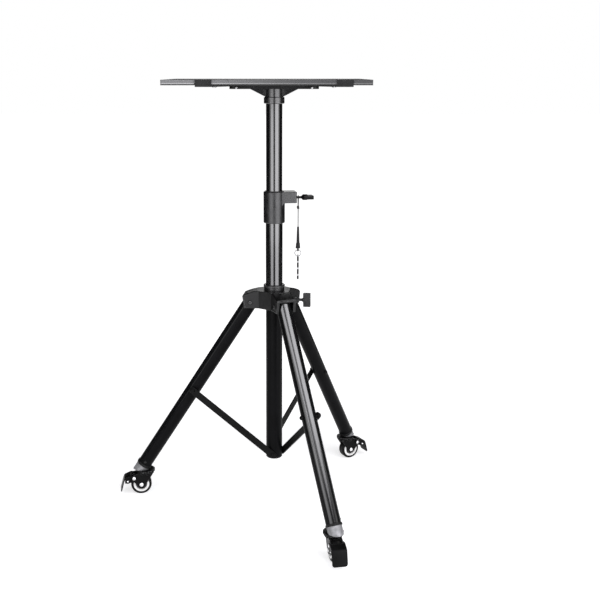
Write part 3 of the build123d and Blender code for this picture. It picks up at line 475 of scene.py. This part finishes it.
# Axle radius: how far a point is from a pin's axis
axle_radius, wheel_in, wheel_out = shader_group(
    "axle_radius",
    [("Vector", "Vector", None), ("Centre", "Vector", None), ("Axis", "Vector", None)],
    [("Radius", "Float")],
)
spot = wheel_in["Vector"]
line = wheel_in["Axis"]
offset = add(axle_radius, "VectorMath", {0: spot, 1: wheel_in["Centre"]}, operation="SUBTRACT").outputs[0]
along = add(axle_radius, "VectorMath", {0: offset, 1: line}, operation="DOT_PRODUCT").outputs["Value"]
lengthwise = add(axle_radius, "VectorMath", {0: line, "Scale": along}, operation="SCALE").outputs[0]
across = add(axle_radius, "VectorMath", {0: offset, 1: lengthwise}, operation="SUBTRACT").outputs[0]
length = add(axle_radius, "VectorMath", {0: across}, operation="LENGTH").outputs["Value"]
axle_radius.links.new(length, wheel_out["Radius"])


def ring_mask(tree, radius, inner, outer, blur=0.0004):
    """1 on a ring between two radii, fading to 0 within the blur at each."""
    outside = ramp(tree, radius, inner, inner + blur)
    within = ramp(tree, radius, outer, outer - blur)
    return math_node(tree, "MULTIPLY", outside, within)


pin_steel, tree, shader, place = blank_material("pin_steel")
nearest = 1.0
for azimuth in LEG_AZIMUTHS.values():
    out = (math.cos(math.radians(azimuth)), math.sin(math.radians(azimuth)))
    pin_centre = (LEG_PIVOT_R * out[0], LEG_PIVOT_R * out[1], LEG_PIVOT_Z)
    pin_axis = (-out[1], out[0], 0.0)
    from_pin = use_group(tree, axle_radius, {"Vector": place, "Centre": pin_centre, "Axis": pin_axis})
    nearest = math_node(tree, "MINIMUM", nearest, from_pin["Radius"])
peened = ring_mask(tree, nearest, PEEN_INNER, PEEN_OUTER)
scuff = add(tree, "TexNoise", {"Vector": place, "Scale": 500.0, "Detail": 4.0}).outputs["Fac"]
black = blend_colour(tree, ramp(tree, scuff, 0.3, 0.7), grey(0.006), grey(0.012))
tree.links.new(blend_colour(tree, peened, black, grey(0.15)), shader.inputs["Base Color"])
tree.links.new(ramp(tree, scuff, 0.3, 0.7, 0.35, 0.5), shader.inputs["Roughness"])
bump_from(tree, shader, 0.4, 0.0003, peened)
shader.inputs["Specular IOR Level"].default_value = 0.2
dress(pin_steel, "hub_pins")


# Hub thumb screw
# A steel screw moulded into a flat dark grey plastic wing, turned by hand to hold the hub at its height.
wing_grey, *_ = moulded(
    "wing_grey", grey(0.018), (0.028, 0.028, 0.029), grey(0.15), roughness=0.4, sheen=0.3
)
dress(wing_grey, "hub_knob")


# Braces, their studs and the leg bolts
# Flat black-coated steel bars with rounded ends, each hung on a bolt through its leg and on a stud in the
# lower tube; the coating is a fine matt powder that has chipped at the rims.
def powder_coat(name, dark, light, chip_and_highlight, roughness, scale=700.0):
    """Baked powder: a close pebbled skin, cloudy tone and rims painted pale, partly as chips and partly as
    painted highlight.
    """
    material, tree, shader, place = blank_material(name)
    skin = use_group(tree, paint_skin, {"Vector": place, "Mottle Scale": 45.0, "Peel Scale": scale})
    edge = use_group(tree, edge_wear_and_highlight, {"Vector": place, "Radius": 0.0007, "Break Scale": 240.0})
    colour = blend_colour(tree, skin["Mottle"], dark, light)
    # The rims are blended towards a pale tone: chips, and painted highlights.
    colour = blend_colour(tree, math_node(tree, "MULTIPLY", edge["Mask"], 0.8), colour, chip_and_highlight)
    tree.links.new(colour, shader.inputs["Base Color"])
    dullness = ramp(tree, skin["Peel"], 0.3, 0.7, roughness - 0.08, roughness + 0.1)
    tree.links.new(dullness, shader.inputs["Roughness"])
    bump_from(tree, shader, 0.2, 0.0002, skin["Peel"], Normal=edge["Normal"])
    shader.inputs["Specular IOR Level"].default_value = 0.15
    return material, tree, shader, place


brace_powder, _, shader, _ = powder_coat(
    "brace_powder", grey(0.003), grey(0.006), grey(0.05), roughness=0.45
)
shader.inputs["Specular IOR Level"].default_value = 0.08
dress(brace_powder, "brace_studs")
for leg in LEG_AZIMUTHS:
    dress(brace_powder, "brace_" + leg, "leg_bolt_" + leg)


# Feet
# Sand-cast aluminium wedges plugged into the legs; the skin is rough, and the eased rims are painted near
# white.
foot_cast, tree, shader, place = blank_material("foot_cast")
sand_look = {"Vector": place, "Scale": 420.0, "Detail": 6.0, "Roughness": 0.7}
sand = add(tree, "TexNoise", sand_look).outputs["Fac"]
pits = add(tree, "TexVoronoi", {"Vector": place, "Scale": 330.0}).outputs["Distance"]
streaks = add(tree, "TexNoise", {"Vector": place, "Scale": 90.0, "Detail": 4.0}).outputs["Fac"]
rim = use_group(tree, edge_wear_and_highlight, {"Vector": place, "Radius": 0.0016, "Break Scale": 40.0})
colour = blend_colour(tree, ramp(tree, streaks, 0.3, 0.7), (0.20, 0.20, 0.205), (0.34, 0.34, 0.35))
colour = blend_colour(tree, ramp(tree, sand, 0.55, 0.75), colour, (0.16, 0.16, 0.17))
colour = blend_colour(tree, rim["Mask"], colour, (0.85, 0.85, 0.86))
tree.links.new(colour, shader.inputs["Base Color"])
tree.links.new(ramp(tree, sand, 0.3, 0.7, 0.42, 0.62), shader.inputs["Roughness"])
shader.inputs["Metallic"].default_value = 0.6
grit = math_node(tree, "MULTIPLY_ADD", pits, 0.5, sand)
bump_from(tree, shader, 0.35, 0.0005, grit, Normal=rim["Normal"])
dress(foot_cast, *("foot_" + leg for leg in LEG_AZIMUTHS))


# Casters
# Pressed steel housings and forks under black gloss, their rims painted bright, partly as wear and partly as
# painted highlight; steel axles and rivets; and a smooth black rubber tyre on a wheel moulded in black and
# white.
CASTER_STEM_R = 0.291
CASTER_TRAIL = 0.011
CASTER_TURNS = {"left": 16.0, "front": -12.5, "rear": -26.3}
WHEEL_RADIUS = 0.023
WHITE_INNER = 0.0121
WHITE_OUTER = 0.0175
TREAD_INNER = 0.0222
TREAD_OUTER = 0.0229
# Painted highlight: the pale rim tone on the black housings and forks stands for glints as well as wear.
race_steel, _, shader, _ = powder_coat(
    "race_steel", grey(0.0020), grey(0.0040), grey(0.45), roughness=0.3
)
shader.inputs["Specular IOR Level"].default_value = 0.05
shader.inputs["Coat Weight"].default_value = 0.10


def bright_steel(name, tone, roughness):
    """Bright plated steel with fine turning marks and a few dull spots."""
    material, tree, shader, place = blank_material(name)
    marks = add(tree, "TexNoise", {"Vector": place, "Scale": 1400.0, "Detail": 3.0}).outputs["Fac"]
    spots = add(tree, "TexNoise", {"Vector": place, "Scale": 260.0, "Detail": 5.0}).outputs["Fac"]
    dull = tuple(0.62 * channel for channel in tone)
    colour = blend_colour(tree, ramp(tree, spots, 0.45, 0.7), tone, dull)
    tree.links.new(colour, shader.inputs["Base Color"])
    tree.links.new(ramp(tree, spots, 0.3, 0.7, roughness, roughness + 0.2), shader.inputs["Roughness"])
    bump_from(tree, shader, 0.1, 0.0001, marks)
    shader.inputs["Metallic"].default_value = 1.0
    return material, tree, shader, place


axle_steel, *_ = bright_steel("axle_steel", (0.85, 0.85, 0.86), 0.18)


def at_caster(leg, local):
    """World places of a caster's local points (out along its heading, across, up) about its stem."""
    azimuth = math.radians(LEG_AZIMUTHS[leg])
    heading = azimuth + math.radians(CASTER_TURNS[leg])
    out = np.array([math.cos(heading), math.sin(heading), 0.0])
    across = np.array([-math.sin(heading), math.cos(heading), 0.0])
    up = np.array([0.0, 0.0, 1.0])
    stem = CASTER_STEM_R * np.array([math.cos(azimuth), math.sin(azimuth), 0.0])
    return stem + local[..., :1] * out + local[..., 1:2] * across + local[..., 2:] * up


for leg in LEG_AZIMUTHS:
    centre = at_caster(leg, np.array([CASTER_TRAIL, 0.0, WHEEL_RADIUS]))
    axis = at_caster(leg, np.array([0.0, 1.0, 0.0])) - at_caster(leg, np.zeros(3))
    dress(race_steel, "caster_housing_" + leg, "caster_fork_" + leg)
    dress(axle_steel, "caster_pins_" + leg)

    core_plastic, tree, shader, place = blank_material("core_plastic_" + leg)
    from_axle = use_group(tree, axle_radius, {"Vector": place, "Centre": centre, "Axis": axis})["Radius"]
    pale = ring_mask(tree, from_axle, WHITE_INNER, WHITE_OUTER)
    skin = use_group(tree, mould_grain, {"Vector": place, "Scale": 1500.0})
    white = blend_colour(tree, ramp(tree, skin["Tone"], 0.3, 0.7), (0.78, 0.78, 0.76), (0.90, 0.90, 0.88))
    tree.links.new(blend_colour(tree, pale, grey(0.014), white), shader.inputs["Base Color"])
    tree.links.new(ramp(tree, skin["Tone"], 0.25, 0.75, 0.3, 0.42), shader.inputs["Roughness"])
    bump_from(tree, shader, 0.15, 0.0002, skin["Height"])
    dress(core_plastic, "wheel_core_" + leg)

    tyre_rubber, tree, shader, place = blank_material("tyre_rubber_" + leg)
    from_axle = use_group(tree, axle_radius, {"Vector": place, "Centre": centre, "Axis": axis})["Radius"]
    dust = add(tree, "TexNoise", {"Vector": place, "Scale": 120.0, "Detail": 6.0}).outputs["Fac"]
    tread = ramp(tree, from_axle, TREAD_INNER, TREAD_OUTER)
    soiled = math_node(tree, "MULTIPLY", tread, ramp(tree, dust, 0.45, 0.7))
    colour = blend_colour(tree, soiled, grey(0.004), (0.018, 0.0175, 0.017))
    tree.links.new(colour, shader.inputs["Base Color"])
    tree.links.new(ramp(tree, dust, 0.3, 0.7, 0.42, 0.62), shader.inputs["Roughness"])
    shader.inputs["Specular IOR Level"].default_value = 0.12
    bump_from(tree, shader, 0.15, 0.0002, dust)
    dress(tyre_rubber, "tyre_" + leg)


# Brake pedals
# A black nylon foot plate bent down to a toe with rounded corners, moulded in one with two ears that turn on
# the fork's rivets; a bright steel pin crosses the ears. Sizes are out along the caster's heading, and up.
PEDAL_RIVET = np.array([0.027, 0.040])
PEDAL_RIVET_HOLE = 0.00255
PEDAL_EYE = 0.0060
PEDAL_PIN = np.array([0.041, 0.034])
PEDAL_PIN_RADIUS = 0.0020
PEDAL_PIN_REACH = 0.0167
PEDAL_PIN_EYE = 0.0055
PEDAL_EAR_CORNER = np.array([0.0462, 0.0305])
PEDAL_HALF_WIDTH = 0.0155
PEDAL_EAR = 0.0020
PEDAL_EDGE = 0.0004
PEDAL_HALF_PLATE = 0.0011
PEDAL_TOE_CORNER = 0.0055
PEDAL_BACK = np.array([0.0330, 0.0455])
PEDAL_CREST = np.array([0.0462, 0.0400])
PEDAL_PULL = np.array([0.0497, 0.0386])
PEDAL_DROP = np.array([0.0512, 0.0270])
PEDAL_TOE = np.array([0.0565, 0.0092])


def pedal_plate():
    """A flat round-edged section along a straight and a cubic bend, narrowed round the toe's corners."""
    share = np.linspace(0, 1, 12, endpoint=False)[:, None]
    t = np.sin(np.linspace(0, np.pi / 2, 44))[:, None]
    first_half = (1 - t) ** 3 * PEDAL_CREST + 3 * t * (1 - t) ** 2 * PEDAL_PULL
    bend = first_half + 3 * t**2 * (1 - t) * PEDAL_DROP + t**3 * PEDAL_TOE
    spine = np.vstack([PEDAL_BACK + share * (PEDAL_CREST - PEDAL_BACK), bend])
    tangent = np.gradient(spine, axis=0)
    tangent /= np.linalg.norm(tangent, axis=1, keepdims=True)
    travel = np.concatenate([[0.0], np.cumsum(np.linalg.norm(np.diff(spine, axis=0), axis=1))])
    to_toe = travel[-1] - travel
    corner = np.clip(1 - to_toe / PEDAL_TOE_CORNER, 0, 1)
    width = PEDAL_HALF_WIDTH - PEDAL_TOE_CORNER * (1 - np.sqrt(1 - corner**2))
    closing = np.clip(1 - np.minimum(to_toe, travel) / PEDAL_HALF_PLATE, 0, 1)
    plate = PEDAL_HALF_PLATE * np.sqrt(1 - closing**2)
    turn = (np.arange(32) + 0.5) * 2 * np.pi / 32
    flat_half = width[:, None] - PEDAL_HALF_PLATE
    across = np.sign(np.cos(turn)) * flat_half + PEDAL_HALF_PLATE * np.cos(turn)
    rise = plate[:, None] * np.sin(turn)
    out = spine[:, :1] - rise * tangent[:, 1:]
    return np.stack([out, across, spine[:, 1:] + rise * tangent[:, :1]], axis=-1)


def pedal_ear(side):
    """A flat ear: in each direction N its outline is C + r N of the circle with the largest C.N + r."""
    circles = np.array(
        [
            (*PEDAL_RIVET, PEDAL_EYE),
            (*PEDAL_PIN, PEDAL_PIN_EYE),
            (*PEDAL_BACK, PEDAL_HALF_PLATE),
            (*PEDAL_CREST, PEDAL_HALF_PLATE),
            (*PEDAL_EAR_CORNER, PEDAL_HALF_PLATE),
        ]
    )
    turn = np.linspace(0, 2 * np.pi, 120, endpoint=False)
    outward = np.column_stack([np.cos(turn), np.sin(turn)])
    furthest = circles[(outward @ circles[:, :2].T + circles[:, 2]).argmax(axis=1)]
    outline = furthest[:, :2] + furthest[:, 2:] * outward
    eased = outline - PEDAL_EDGE * outward
    hole = PEDAL_RIVET + PEDAL_RIVET_HOLE * outward
    far = PEDAL_HALF_WIDTH
    near = far - PEDAL_EAR
    rings = np.stack([hole, eased, outline, outline, eased, hole, hole])
    depths = np.array([near, near, near + PEDAL_EDGE, far - PEDAL_EDGE, far, far, near])
    across = side * depths[:, None] + 0 * rings[..., 0]
    return np.stack([rings[..., 0], across, rings[..., 1]], axis=-1)


def pedal_pin():
    """A rod whose radius falls to nothing at its two domed ends."""
    along = PEDAL_PIN_REACH * np.array([-1, -0.995, -0.98, -0.955, 0.955, 0.98, 0.995, 1])[:, None]
    radius = PEDAL_PIN_RADIUS * np.array([0, 0.5, 0.8, 1, 1, 0.8, 0.5, 0])[:, None]
    turn = np.linspace(0, 2 * np.pi, 24, endpoint=False)[None, :]
    out = PEDAL_PIN[0] + radius * np.cos(turn)
    return np.stack([out, along + 0 * turn, PEDAL_PIN[1] + radius * np.sin(turn)], axis=-1)


# The pedal's paler edge tone paints the highlights along its rims.
pedal_plastic, *_ = moulded(
    "pedal_plastic", grey(0.0018), grey(0.0035), grey(0.10), roughness=0.34, sheen=0.08
)
for leg in LEG_AZIMUTHS:
    shapes = [at_caster(leg, shape) for shape in (pedal_plate(), pedal_ear(-1), pedal_ear(1))]
    foot_plate = new_piece("foot_plate_" + leg, shapes, pedal_plastic, "pedal_" + leg)
    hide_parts("brake_pedal_" + leg)
    cross_pin = at_caster(leg, pedal_pin())
    new_piece("foot_plate_pin_" + leg, [cross_pin], axle_steel, "pedal_" + leg)


# Mast clamp, guide ring and thumb screw
# A satin black moulding glued on the tube's top, with a side arm for the thumb screw; a black bush in its
# mouth turns with the mast.
CLAMP_DARK = (0.006, 0.006, 0.0065)
CLAMP_LIGHT = (0.010, 0.010, 0.0105)
CLAMP_EDGE_HIGHLIGHT = (0.04, 0.04, 0.042)
# The clamp's paler edge tone is a painted highlight.
clamp_nylon, *_ = moulded(
    "clamp_nylon", CLAMP_DARK, CLAMP_LIGHT, CLAMP_EDGE_HIGHLIGHT, roughness=0.3, grain=1100.0, sheen=0.65
)
dress(clamp_nylon, "mast_clamp")
dress(collar_plastic, "mast_guide")
wing_black, *_ = moulded("wing_black", grey(0.004), grey(0.008), grey(0.05), roughness=0.38, sheen=0.1)
dress(wing_black, "clamp_knob")


# Lanyard
# A doubled black braided cord hung on the clamp screw and held by a knot, with a moulded sleeve and crimp, a
# plain steel ring and a bright steel safety pin painted with dark bands, a painted reflection between its
# highlights.
LANYARD_TURN = math.radians(8.0)
LANYARD_R = 0.0502
CORD_RADIUS = 0.00075
KNOT_SIDE = 0.00085
KNOT_FRONT = 0.00075
KNOT_RISE = 0.0026
KNOT_LOW_Z = 0.6445
KNOT_HIGH_Z = 0.6545
REFLECTION_BAND_PITCH = 0.014
cord_side = np.array([(0.8, 609.4), (0.8, 627.9), (0.7, 646.4), (3.8, 659.4), (3.8, 674.7)]) / 1000
cord_points = np.vstack([cord_side * (-1, 1), cord_side[::-1]])


def about_mast(outward, sideways, height):
    """World points of the lanyard's own directions: out from the mast, sideways across that, and up."""
    x = outward * math.cos(LANYARD_TURN) - sideways * math.sin(LANYARD_TURN)
    y = outward * math.sin(LANYARD_TURN) + sideways * math.cos(LANYARD_TURN)
    return np.column_stack([x, y, height])


cord_line = bpy.data.curves.new("lanyard_cord_line", "CURVE")
cord_line.dimensions = "3D"
route = about_mast(LANYARD_R, cord_points[:, 0], cord_points[:, 1])
spline = cord_line.splines.new("NURBS")
spline.points.add(len(route) - 1)
spline.points.foreach_set("co", np.column_stack([route, np.ones(len(route))]).ravel())
spline.order_u = 3
spline.use_endpoint_u = True
spline.resolution_u = 12
lanyard_line = bpy.data.objects.new("lanyard_braid", cord_line)
bpy.context.scene.collection.objects.link(lanyard_line)
read_line = bpy.data.meshes.new_from_object(lanyard_line)
cord_read = np.empty((len(read_line.vertices), 3))
read_line.vertices.foreach_get("co", cord_read.ravel())
bpy.data.meshes.remove(read_line)
cord_line.bevel_depth = CORD_RADIUS
cord_line.bevel_resolution = 4
braid, tree, shader, place = blank_material("cord_braid")
threads = add(tree, "TexVoronoi", {"Vector": place, "Scale": 2600.0}).outputs["Distance"]
fuzz = add(tree, "TexNoise", {"Vector": place, "Scale": 900.0, "Detail": 4.0}).outputs["Fac"]
colour = blend_colour(tree, ramp(tree, threads, 0.1, 0.6), (0.030, 0.030, 0.031), grey(0.008))
tree.links.new(colour, shader.inputs["Base Color"])
tree.links.new(ramp(tree, fuzz, 0.3, 0.7, 0.6, 0.85), shader.inputs["Roughness"])
bump_from(tree, shader, 0.6, 0.0002, threads)
cord_line.materials.append(braid)


def round_line(points, radius, sides=10):
    """A cord's surface round a closed line: C + r (cos a N + sin a B), N and B square to its tangent."""
    along = np.roll(points, -1, axis=0) - np.roll(points, 1, axis=0)
    along /= np.linalg.norm(along, axis=1, keepdims=True)
    first = np.cross(along, (0.0, 0.0, 1.0))
    first /= np.linalg.norm(first, axis=1, keepdims=True)
    second = np.cross(along, first)
    turn = np.linspace(0, 2 * np.pi, sides, endpoint=False)[None, :, None]
    surface = points[:, None] + radius * (np.cos(turn) * first[:, None] + np.sin(turn) * second[:, None])
    return np.vstack([surface, surface[:1]])


# The knot is a drawn-up trefoil round the two strands: (sin t + 2 sin 2t, cos t - 2 cos 2t, -sin 3t)
inside = (cord_read[:, 2] > KNOT_LOW_Z) & (cord_read[:, 2] < KNOT_HIGH_Z)
knot_centre = cord_read[inside].mean(axis=0)
winding = np.linspace(0, 2 * np.pi, 160, endpoint=False)
knot_side = KNOT_SIDE * (np.sin(winding) + 2 * np.sin(2 * winding))
knot_front = KNOT_FRONT * (np.cos(winding) - 2 * np.cos(2 * winding))
knot_rise = -KNOT_RISE * np.sin(3 * winding)
knot_path = knot_centre + about_mast(knot_front, knot_side, knot_rise)
cord_knot = new_piece("cord_knot", [round_line(knot_path, CORD_RADIUS)], braid, "lower_mast")
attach(lanyard_line, "lower_mast")
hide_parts("lanyard_cord")
sleeve_plastic, *_ = moulded("sleeve_plastic", grey(0.008), grey(0.014), grey(0.04), roughness=0.5)
dress(sleeve_plastic, "lanyard_crimp")
ring_steel, *_ = bright_steel("ring_steel", (0.30, 0.30, 0.31), 0.2)
dress(ring_steel, "lanyard_ring")
pin_metal, tree, shader, place = bright_steel("pin_metal", (0.55, 0.55, 0.56), 0.3)
# Painted reflection: dark bands at a fixed pitch round the bright pin stand for the dark it mirrors between
# highlights.
height = add(tree, "SeparateXYZ", {0: place}).outputs["Z"]
turns = math_node(tree, "SINE", math_node(tree, "MULTIPLY", height, 2 * math.pi / REFLECTION_BAND_PITCH))
reflection_bands = ramp(tree, turns, 0.85, 0.65)
plain = shader.inputs["Base Color"].links[0].from_socket
tree.links.new(blend_colour(tree, reflection_bands, plain, grey(0.02)), shader.inputs["Base Color"])
dress(pin_metal, "safety_pin")


# Upper mast
# The inner tube, in the same gloss enamel, with faint lengthwise marks from sliding in its bush.
mast_enamel, tree, shader, place = black_enamel("mast_enamel")
stretched = add(tree, "VectorMath", {0: place, 1: (420.0, 420.0, 5.0)}, operation="MULTIPLY").outputs[0]
streaks = add(tree, "TexNoise", {"Vector": stretched, "Scale": 1.0, "Detail": 3.0}).outputs["Fac"]
slide_marks = ramp(tree, streaks, 0.52, 0.7)
tree.links.new(ramp(tree, slide_marks, 0.0, 1.0, 1.0, 0.92), shader.inputs["Coat Weight"])
dress(mast_enamel, "upper_mast")


# Mast head and its bolts
# A black painted casting, its flange bolted through an end lug at either side; the paint is glossy round the
# socket and dull elsewhere, and the low domed bolt heads are bright.
LUG_FROM_X = 0.058
LUG_FULL_X = 0.066
SOCKET_GLOSS_R = 0.0222
SOCKET_DULL_R = 0.0240
head_cast, tree, shader, place = powder_coat(
    "head_cast", (0.010, 0.010, 0.0105), (0.017, 0.017, 0.018), grey(0.12), roughness=0.42, scale=520.0
)
sideways = math_node(tree, "ABSOLUTE", add(tree, "SeparateXYZ", {0: place}).outputs["X"])
lug = ramp(tree, sideways, LUG_FROM_X, LUG_FULL_X)
mast_line = {"Vector": place, "Centre": (0.0, 0.0, 0.88), "Axis": (0.0, 0.0, 1.0)}
from_mast = use_group(tree, axle_radius, mast_line)["Radius"]
gloss = ramp(tree, from_mast, SOCKET_DULL_R, SOCKET_GLOSS_R, 0.06, 0.7)
tree.links.new(gloss, shader.inputs["Coat Weight"])
shader.inputs["Coat Roughness"].default_value = 0.2
shader.inputs["Coat IOR"].default_value = 2.0
paint = shader.inputs["Base Color"].links[0].from_socket
tree.links.new(blend_colour(tree, lug, paint, grey(0.008)), shader.inputs["Base Color"])
dress(head_cast, "mast_head")
bolt_steel, *_ = bright_steel("bolt_steel", grey(0.55), 0.3)
dress(bolt_steel, "head_bolts")


# Tray bracket
# Four pressed steel arms welded to a plate, which hook over the board's edges; matt black powder.
BRACKET_BOTTOM_Z = 0.895
BOARD_SCREW_X = 0.1129
BOARD_SCREW_Y = 0.1125
BOARD_SCREW_RADIUS = 0.0042
BOARD_SCREW_HEIGHT = 0.0022
bracket_powder, *_ = powder_coat("bracket_powder", grey(0.012), grey(0.020), grey(0.08), roughness=0.5)
dress(bracket_powder, "tray_bracket")
for number, (x_side, y_side) in enumerate([(1, 1), (-1, 1), (-1, -1), (1, -1)], start=1):
    pan_head(
        f"board_screw_{number}",
        (x_side * BOARD_SCREW_X, y_side * BOARD_SCREW_Y, BRACKET_BOTTOM_Z),
        (0, 0, -1),
        BOARD_SCREW_RADIUS,
        BOARD_SCREW_HEIGHT,
        bolt_steel,
        "upper_mast",
    )


# Tray board
# A ten millimetre board faced with a dark grained laminate, with a grey band ironed round its edge. A pale
# line near the band's bottom is a painted highlight, the band is dark along its bottom edge, and painted
# shade darkens it towards the right.
BOTTOM_DARK_Z = 0.9000
BOTTOM_FADE_Z = 0.9005
HIGHLIGHT_LOW_Z = 0.9001
HIGHLIGHT_HIGH_Z = 0.9023
HIGHLIGHT_LOW_BLUR = 0.0003
HIGHLIGHT_HIGH_BLUR = 0.0005
BAND_DARK = (0.150, 0.150, 0.151)
BAND_LIGHT = (0.170, 0.170, 0.171)
BAND_SHADE_TONE = (0.022, 0.022, 0.023)
SHADE_FROM_X = -0.22
SHADE_TO_X = 0.14
HIGHLIGHT_LEFT_X = -0.20
HIGHLIGHT_RIGHT_X = 0.12
board, tree, shader, place = blank_material("tray_board")
parts = add(tree, "SeparateXYZ", {0: place}).outputs
facing = add(tree, "SeparateXYZ", {0: add(tree, "TexCoord").outputs["Normal"]}).outputs["Z"]
flat = ramp(tree, math_node(tree, "ABSOLUTE", facing), 0.4, 0.7)
hide = add(tree, "TexVoronoi", {"Vector": place, "Scale": 700.0}).outputs["Distance"]
cloud = add(tree, "TexNoise", {"Vector": place, "Scale": 18.0, "Detail": 5.0}).outputs["Fac"]
laminate = blend_colour(tree, ramp(tree, cloud, 0.3, 0.7), grey(0.015), grey(0.019))
streak = add(tree, "TexNoise", {"Vector": place, "Scale": 60.0, "Detail": 6.0}).outputs["Fac"]
band = blend_colour(tree, ramp(tree, streak, 0.3, 0.7), BAND_DARK, BAND_LIGHT)
# Painted highlight: a pale line near the band's bottom, dimmer towards the right.
above_highlight_low = ramp(tree, parts["Z"], HIGHLIGHT_LOW_Z, HIGHLIGHT_LOW_Z + HIGHLIGHT_LOW_BLUR)
below_highlight_top = ramp(tree, parts["Z"], HIGHLIGHT_HIGH_Z, HIGHLIGHT_HIGH_Z - HIGHLIGHT_HIGH_BLUR)
highlight_line = math_node(tree, "MULTIPLY", above_highlight_low, below_highlight_top)
highlight_tone = blend_colour(tree, ramp(tree, parts["X"], HIGHLIGHT_LEFT_X, HIGHLIGHT_RIGHT_X), grey(0.33), grey(0.11))
# Painted shade: the band darkens from left to right.
shaded = ramp(tree, parts["X"], SHADE_FROM_X, SHADE_TO_X, 0.0, 0.93)
band = blend_colour(tree, shaded, band, BAND_SHADE_TONE)
band = blend_colour(tree, highlight_line, band, highlight_tone)
# The band turns dark along its bottom edge.
band = blend_colour(tree, ramp(tree, parts["Z"], BOTTOM_FADE_Z, BOTTOM_DARK_Z), band, grey(0.012))
tree.links.new(blend_colour(tree, flat, band, laminate), shader.inputs["Base Color"])
tree.links.new(ramp(tree, cloud, 0.3, 0.7, 0.47, 0.53), shader.inputs["Roughness"])
bump_from(tree, shader, 0.25, 0.0003, math_node(tree, "MULTIPLY", hide, flat))
dress(board, "tray_panel")
